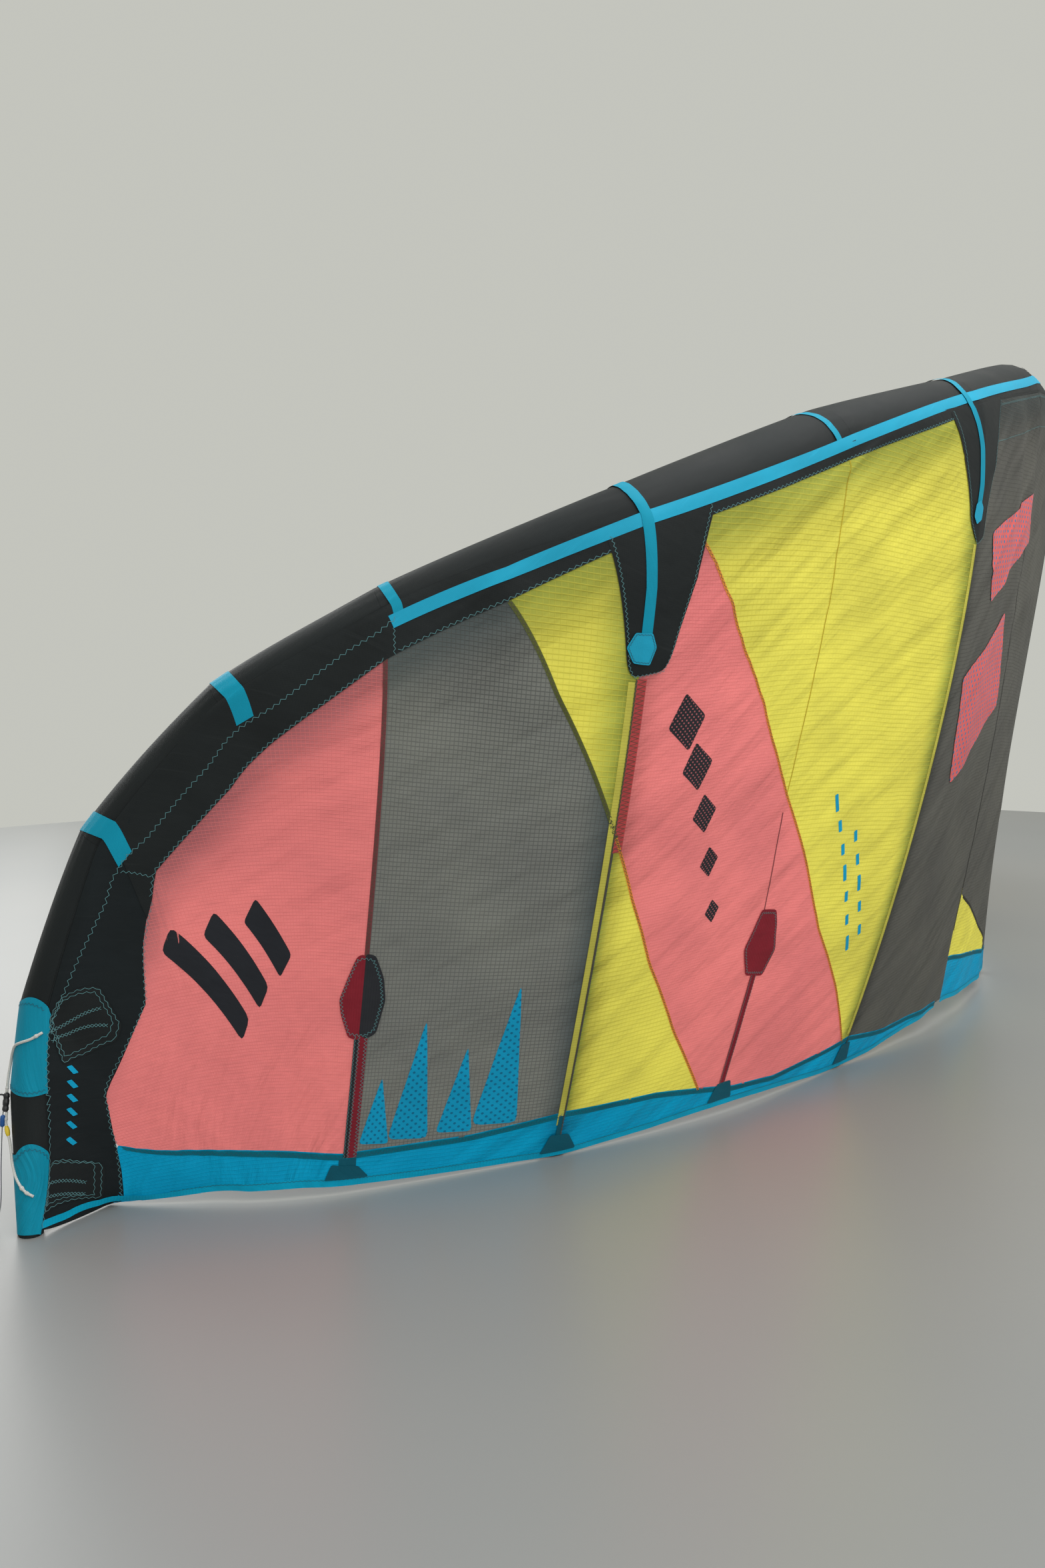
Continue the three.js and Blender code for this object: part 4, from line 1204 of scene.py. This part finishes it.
def sew_front():
    """The black strip behind the tube, its stitches and the light blue stripe."""
    shape = between(Shape(), 1.75, 6.88, constant(-0.012), STRIP_LOW, STRIP_LIFT, 18, 0.011)
    sew("yellow_main", "strip_front", shape, BLACK)
    stitches = Shape()
    for line, pitch, sway, offset, lift in (
        (strip_line(0, 4.94), 0.013, 0.005, -0.003, SEWN_STRIP),
        (strip_line(5.0, 6.78), 0.013, 0.005, -0.003, SEWN_STRIP),
        (RIDGE_SEAM, 0.009, 0.002, 0, SEWN_STRIP),
        (BLACK_INNER, 0.013, 0.005, 0.001, SEWN_LAP),
        (LE_SEAM, 0.015, 0.0056, 0, SEWN_SLEEVE),
        ([(6.74, 0.285), (6.92, 0.19)], 0.010, 0.004, 0, PATCH_LIFT),
        ([(4.96, 0.152), (4.96, 0.08)], 0.010, 0.004, 0, PAD_LIFT),
    ):
        stitch(stitches, line, pitch, sway, offset, lift)
    sew("tip_black", "stitches_front", stitches, SEAM_THREAD)
    shape = ribbon_shape(Shape(), STRIPE, -STRIPE_HALF, STRIPE_HALF, stripe_lift, 5)
    sew("yellow_main", "stripe_front", shape, LIGHT_BLUE)


# where the joint bands start and end, at the inner side and at the canopy, and the place they end
JOINT_BANDS = [
    ((6.96, 6.8), (7.08, 6.92), 0.172),
    ((5.97, 5.81), (6.08, 5.92), 0.122),
    ((4.99, 4.915), (5.03, 4.955), 0.055),
    ((3.07, 3.07), (3.1, 3.1), -0.012),
]


def arch(station, rise):
    """A tip patch's edge, which rises in the middle of the tube's outer side."""
    return lambda t: station - rise * np.sin(np.pi * np.clip(t * 2.2 - 1.2, 0, 1))


def sew_bands():
    shape = Shape()
    for low, high, last in JOINT_BANDS:
        ends = polyline([(0, low[0]), (1, low[1])]), polyline([(0, high[0]), (1, high[1])])
        round_band(shape, *ends, constant(last))
    sew("tip_black", "bands_joint", shape, TEAL)
    shape = round_band(Shape(), arch(8.02, 0.07), arch(8.93, -0.05), LE_SEAM_AT, 30)
    round_band(shape, arch(9.42, 0.08), constant(9.995), LE_SEAM_AT, 20)
    sew("tip_black", "patches_tip", shape, TEAL)
    edges = Shape()
    t = np.linspace(0.3, 1, 40)
    for edge in (arch(8.06, 0.07), arch(8.89, -0.05), arch(9.46, 0.08)):
        u = edge(t)
        w = w_at(u, np.full(u.shape, INNER_TURN))
        line = np.stack([u, w + (LE_SEAM_AT(u) - w) * t], -1)
        stitch(edges, line, 0.008, 0.004, 0, SEWN_LAP)
    sew("tip_black", "stitches_tip", edges, LAP_THREAD)


# the black patches at the front ends of the struts
V_PATCHES = {
    "1": [(4.14, 0.03), (4.05, 0.312), (4.03, 0.33), (3.91, 0.336), (3.89, 0.322), (3.81, 0.196),
          (3.74, 0.03)],
    "2": [(2.28, 0.0), (2.09, 0.263), (2.01, 0.305), (1.94, 0.298), (1.93, 0.249), (1.86, 0.16),
          (1.74, 0.0)],
}
STRAP_TURNS = (-170, -120, -80, -50)
FIRST_STRAP = [(3.995, 0.02), (3.99, 0.1), (3.985, 0.18), (3.99, 0.27)]
SECOND_STRAP = [(2.1, -0.01), (2.06, 0.06), (2.03, 0.12), (2.02, 0.2), (2.03, 0.24)]
STRAP_END = [(4.03, 0.256), (3.97, 0.265), (3.95, 0.292), (3.97, 0.318), (4.03, 0.307),
             (4.06, 0.278)]
SIXTHS = np.radians(np.arange(0, 360, 60))


def strap_lift(share, w):
    return np.interp(share, (0, 0.35, 0.5, 1), (0.0022, 0.0024, 0.0046, 0.0046)) + 0 * w


def sew_patches():
    for key, outline in V_PATCHES.items():
        shape = patch_shape(Shape(), outline, PATCH_LIFT, 12, 96, 2)
        pair(f"reinforcement_{key}", shape, BLACK, f"patch_strut_{key}")
        inner = shrunk(outline, np.mean(outline, axis=0), (0.08, 0))
        stitches = stitch(Shape(), inner, 0.009, 0.004, 0, SEWN_PAD)
        sew("yellow_main", f"stitches_patch_{key}", stitches, SEAM_THREAD)
    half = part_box("patch_middle")[1][0] / REACH[1]
    t = np.linspace(0.0, 0.35, 30)[:, None]
    u = half * (1 - 0.55 * t / 0.35) * np.linspace(-1, 1, 12)
    v = t + 0 * u
    shape = Shape().grid(wrap(u, v, PATCH_LIFT), cloth_uv(u, v))
    piece("reinforcement_middle", shape, BLACK, "patch_middle")


def sew_straps():
    """The blue straps round the tube at the struts, with their six-sided ends."""
    path = on_turns(3.995, STRAP_TURNS) + FIRST_STRAP
    straps = ribbon_shape(Shape(), path, -0.0115, 0.0115, strap_lift, 5, 0.01)
    path = on_turns((2.03, 2.04, 2.06, 2.1), STRAP_TURNS) + SECOND_STRAP
    ribbon_shape(straps, path, -0.0105, 0.0105, strap_lift, 5, 0.01)
    sew("yellow_main", "straps", straps, TEAL)
    ends = patch_shape(Shape(), STRAP_END, STRAP_END_LIFT, 7, 60)
    outline = np.stack([0.02 * np.sin(SIXTHS), 0.028 * np.cos(SIXTHS)], -1)
    badge(ends, (2.03, 0.25), outline, 8, STRAP_END_LIFT)
    sew("yellow_main", "strap_ends", ends, LIGHT_BLUE)
    inner = closed(shrunk(STRAP_END, (4.0, 0.287), 0.12))
    edge = stitch(Shape(), inner, 0.006, 0.002, 0, SEWN_STRAP)
    sew("yellow_main", "stitches_strap", edge, LAP_THREAD)


LAP_HALF = 0.0042
ORANGE_HALF = 0.0033
LINE_HALF = 0.0014
EDGE_HALF = 0.0065
DIAGONAL_LINE = seam_line(DIAGONAL_SEAM, 0.13, 0.6, BAND_TOP)
WEDGE_LINE = seam_line(WEDGE_SEAM, 0.6, 1, BAND_TOP)
WAVE_LINE = seam_line(WAVE_SEAM, 0.07, 1, BAND_TOP)
MIDDLE_LINE = seam_line(MIDDLE_SEAM, 0.02, 0.91, BAND_TOP)
FOOT_LINE = seam_line(FOOT_SEAM, 0.915, 1, BAND_TOP_MIDDLE)
# panel, name, line, cloth, half its width, whether it is stitched
LAPS = [
    ("grey", "lap_grey", [(5, 0.15), (5, 0.955)], WINE_LAP, LAP_HALF, 1),
    ("yellow_upper", "lap_diagonal", DIAGONAL_LINE, OLIVE_LAP, LAP_HALF, 1),
    ("yellow_wedge", "lap_wedge", WEDGE_LINE, ORANGE, ORANGE_HALF, 1),
    ("yellow_main", "lap_wave", WAVE_LINE, ORANGE, ORANGE_HALF, 1),
    ("dark_inner", "lap_middle", MIDDLE_LINE, DARK_LAP, LAP_HALF, 1),
    ("yellow_foot", "lap_foot", FOOT_LINE, DARK_LAP, LAP_HALF, 1),
    ("yellow_main", "line_bay", [(3.03, 0.06), (3.07, 0.3), (3.1, 0.6)], DEEP_YELLOW, LINE_HALF, 0),
    ("coral_wave", "line_wave", [(3.1, 0.62), (3.08, 0.75)], WINE_LAP, LINE_HALF, 0),
    ("coral_wave", "edge_coral", [(3.987, 0.338), (3.987, 0.585)], DEEP_CORAL, 0.0105, 1),
    ("yellow_upper", "edge_yellow", [(4.025, 0.338), (4.025, 0.955)], PALE_YELLOW, EDGE_HALF, 0),
    ("yellow_main", "edge_dark", [(2.018, 0.305), (2.018, 0.955)], PALE_YELLOW, EDGE_HALF, 0),
]
BINDING = [(9.93, 0.03), (9.87, 0.493), (9.73, 0.797), (9.5, 0.93), (9.2, 0.985), (8.2, 0.99)]


def sew_laps():
    """The laps where panels are sewn together, with their zigzag stitches."""
    stitches = Shape()
    for panel, name, line, cloth, half, stitched in LAPS:
        shape = ribbon_shape(Shape(), line, -half, half, LAP_LIFT)
        sew(panel, name, shape, cloth)
        if stitched:
            stitch(stitches, line, 0.009, 2 * half - 0.003, 0, SEWN_LAP)
    for strut, low in ((4.008, 0.335), (2.002, 0.3)):
        line = [(strut, low), (strut, 0.985)]
        ribbon_shape(stitches, line, -0.0008, 0.0008, 0.0028)
        stitch(stitches, line, 0.009, 0.004, 0.0, 0.0029)
    sew("yellow_main", "stitches_laps", stitches, DARK_THREAD)


def sew_hem():
    """The lap along the blue band, the hem and the binding of the tip."""
    lap, hem, sewn = Shape(), Shape(), Shape()
    for low, high, top in ((0, 0.94, BAND_TOP_MIDDLE), (BAND_START, 8.68, BAND_TOP)):
        u = np.linspace(low, high, 120)
        between(lap, low, high, below(top, -0.003), below(top, 0.006), LAP_LIFT)
        between(hem, low, high, below(CANOPY_END, -0.013), CANOPY_END, HEM_LIFT)
        stitch(sewn, np.stack([u, below(top, 0.0015)(u)], -1), 0.009, 0.006, 0, SEWN_LAP)
        stitch(sewn, np.stack([u, below(CANOPY_END, -0.011)(u)], -1), 0.008, 0.002, 0, 0.0025)
    sew("yellow_main", "lap_band", lap, LAP_TEAL)
    sew("yellow_main", "hem", hem, HEM)
    sew("yellow_main", "stitches_band", sewn, LAP_THREAD)
    sew("tip_black", "binding_tip", ribbon_shape(Shape(), BINDING, -0.007, 0.007, 0.0026), HEM)


PAD = [(5.01, 0.662), (4.95, 0.668), (4.9, 0.703), (4.88, 0.736), (4.91, 0.781), (4.96, 0.787),
       (5.12, 0.779), (5.21, 0.744), (5.24, 0.72), (5.16, 0.69), (5.08, 0.662)]
SMALL_PAD = [(3.1, 0.743), (3, 0.75), (2.97, 0.768), (2.94, 0.804), (2.99, 0.835), (3.11, 0.827),
             (3.16, 0.79), (3.13, 0.77)]
SLEEVE = [(5.0, 0.78), (5.0, 0.958)]
REAR_PATCHES = [
    [(5.39, 0.99), (5.25, 0.966), (4.93, 0.971), (4.86, 0.99)],
    [(4.1, 0.994), (4.06, 0.968), (3.97, 0.97), (3.92, 0.994)],
    [(3.16, 0.992), (3.12, 0.968), (3.03, 0.968), (3.0, 0.992)],
    [(2.08, 0.994), (2.05, 0.968), (1.97, 0.968), (1.94, 0.994)],
]
# station, top and half width
REAR_TAPES = [(5.03, 0.96, 0.0115), (4.02, 0.942, 0.006), (3.08, 0.979, 0.006), (2.0, 0.964, 0.005)]


def sew_battens():
    """The padded ends and the sleeves of the battens, and the patches on the rear edge."""
    dark = patch_shape(Shape(), [(min(u, 5.0), v) for u, v in PAD], PAD_LIFT, 9, 80, 2)
    sew("grey", "pad_dark", dark, PAD_DARK)
    red = patch_shape(Shape(), [(max(u, 5.0), v) for u, v in PAD], PAD_LIFT, 9, 80, 2)
    sew("tip_coral", "pad_red", red, RED_PAD)
    sew("grey", "sleeve_dark", ribbon_shape(Shape(), SLEEVE, -0.0125, 0, SLEEVE_LIFT), PAD_DARK)
    sew("tip_coral", "sleeve_red", ribbon_shape(Shape(), SLEEVE, 0, 0.0125, SLEEVE_LIFT), RED_PAD)
    shape = patch_shape(Shape(), SMALL_PAD, PAD_LIFT, 9, 80, 2)
    ribbon_shape(shape, [(3.05, 0.82), (3.09, 0.975)], -0.009, 0.009, SLEEVE_LIFT)
    sew("coral_wave", "pad_small", shape, RED_PAD)
    stitches = Shape()
    for outline, middle in ((PAD, (5.05, 0.725)), (SMALL_PAD, (3.05, 0.79))):
        stitch(stitches, closed(shrunk(outline, middle, 0.1)), 0.008, 0.005, 0, SEWN_PAD)
    for side in (-0.010, 0, 0.010):
        stitch(stitches, SLEEVE, 0.008, 0.004, side, SEWN_SLEEVE)
    for side in (-0.007, 0.007):
        stitch(stitches, [(3.05, 0.83), (3.09, 0.97)], 0.008, 0.003, side, SEWN_SLEEVE)
    sew("grey", "stitches_battens", stitches, SEAM_THREAD)
    shape = Shape()
    for outline in REAR_PATCHES:
        patch_shape(shape, outline, PATCH_LIFT, 6, 48)
    for at, top, half in REAR_TAPES:
        ribbon_shape(shape, [(at, top), (at, 0.985)], -half, half, 0.0024)
    sew("yellow_main", "patches_rear", shape, TEAL_DARK)


TIP_PATCHES = [
    [(8.11, 0.03), (7.9, 0.081), (7.64, 0.249), (7.54, 0.314), (7.56, 0.456), (7.7, 0.462),
     (8.38, 0.241)],
    [(9.53, 0.04), (9.5, 0.05), (9.25, 0.511), (9.1, 0.675), (9.62, 0.79), (9.86, 0.06)],
]
TIP_ROWS = [
    [(8.21, 0.06), (7.89, 0.237), (7.64, 0.351)],
    [(8.27, 0.1), (7.95, 0.258), (7.68, 0.404)],
    [(9.62, 0.12), (9.45, 0.6)],
    [(9.72, 0.12), (9.6, 0.62)],
]


def sew_tip():
    """The reinforcements at the tip, with their rows of stitching."""
    shape, stitches = Shape(), Shape()
    for outline in TIP_PATCHES:
        patch_shape(shape, outline, PATCH_LIFT, 10, 96, 3)
        for share, phase in ((0.06, 1), (0.2, -1)):
            inner = closed(shrunk(outline, np.mean(outline, axis=0), share))
            stitch(stitches, inner, 0.014, 0.003, 0, SEWN_PATCH, phase)
    for line in TIP_ROWS:
        for phase in (1, -1):
            stitch(stitches, line, 0.014, 0.006, 0, SEWN_PATCH, phase)
    sew("tip_black", "reinforcements_tip", shape, BLACK)
    sew("tip_black", "stitches_rows", stitches, SEAM_THREAD)


TUBE_DASH_TURN = -62.0
BLOCKS = [
    [(1.78, 0.30), (0.98, 0.27), (0.84, 0.36), (1.62, 0.42)],
    [(1.86, 0.51), (1.2, 0.46), (1.06, 0.60), (1.7, 0.66)],
]
# station, height and half width
TRIANGLES = [(4.86, 0.15, 0.035), (4.7, 0.27, 0.042), (4.5, 0.2, 0.035), (4.33, 0.33, 0.045)]


def sew_motifs():
    """Plain printed shapes."""
    ink = Shape()
    for index, size in enumerate((0.23, 0.18, 0.13)):
        outline = np.array(bar(size, 0.05, 0.012)) + (0, 0.085 * (index - 1))
        badge(ink, (6.25, 0.585), outline, 62, PRINT_LIFT)
    sew("tip_coral", "motif_bars", ink, INK)
    dots = Shape()
    for index in range(5):
        b = 0.062 - 0.008 * index
        a = b * 0.72
        place = (3.77 - 0.085 * index, 0.43 + 0.072 * index)
        badge(dots, place, [(-a, 0), (0, -b), (a, 0), (0, b)], -14, PRINT_LIFT)
    sew("coral_wave", "motif_lozenges", dots, DOTTED_INK)
    dashes = Shape()
    for row, (u, v, count) in enumerate(((2.72, 0.63, 7), (2.52, 0.68, 5))):
        for index in range(count):
            length = 0.03 if (index + row) % 3 else 0.045
            place = (u - 0.062 * index, v + 0.032 * index)
            badge(dashes, place, bar(length, 0.012), 68, PRINT_LIFT)
    sew("yellow_main", "motif_dashes", dashes, BLUE_INK)
    marks = Shape()
    for index in range(6):
        place = (8.32 + 0.16 * index, 0.31 + 0.02 * index)
        badge(marks, place, bar(0.02, 0.009), 90, 0.0028)
    sew("tip_black", "motif_tip", marks, BLUE_INK)
    triangles = Shape()
    for u, height, half in TRIANGLES:
        outline = [(-half, 0), (half, 0), (half * 0.2, height)]
        badge(triangles, (u, BAND_TOP(u) - 0.012), outline, 4, PRINT_LIFT)
    sew("grey", "motif_triangles", triangles, DOTTED_BLUE)
    blocks = Shape()
    for outline in BLOCKS:
        patch_shape(blocks, outline, PATCH_LIFT, 18, 120)
    sew("dark_outer", "motif_blocks", blocks, DOTTED_CORAL)
    marks = Shape()
    for index in range(5):
        u = 0.55 + 0.09 * index
        line = on_turns((u, u + 0.055), (TUBE_DASH_TURN, TUBE_DASH_TURN))
        ribbon_shape(marks, line, -0.006, 0.006, PRINT_LIFT)
    sew("dark_inner", "motif_tube", marks, PINK_INK)


sew_front()
sew_bands()
sew_patches()
sew_straps()
sew_laps()
sew_hem()
sew_battens()
sew_tip()
sew_motifs()
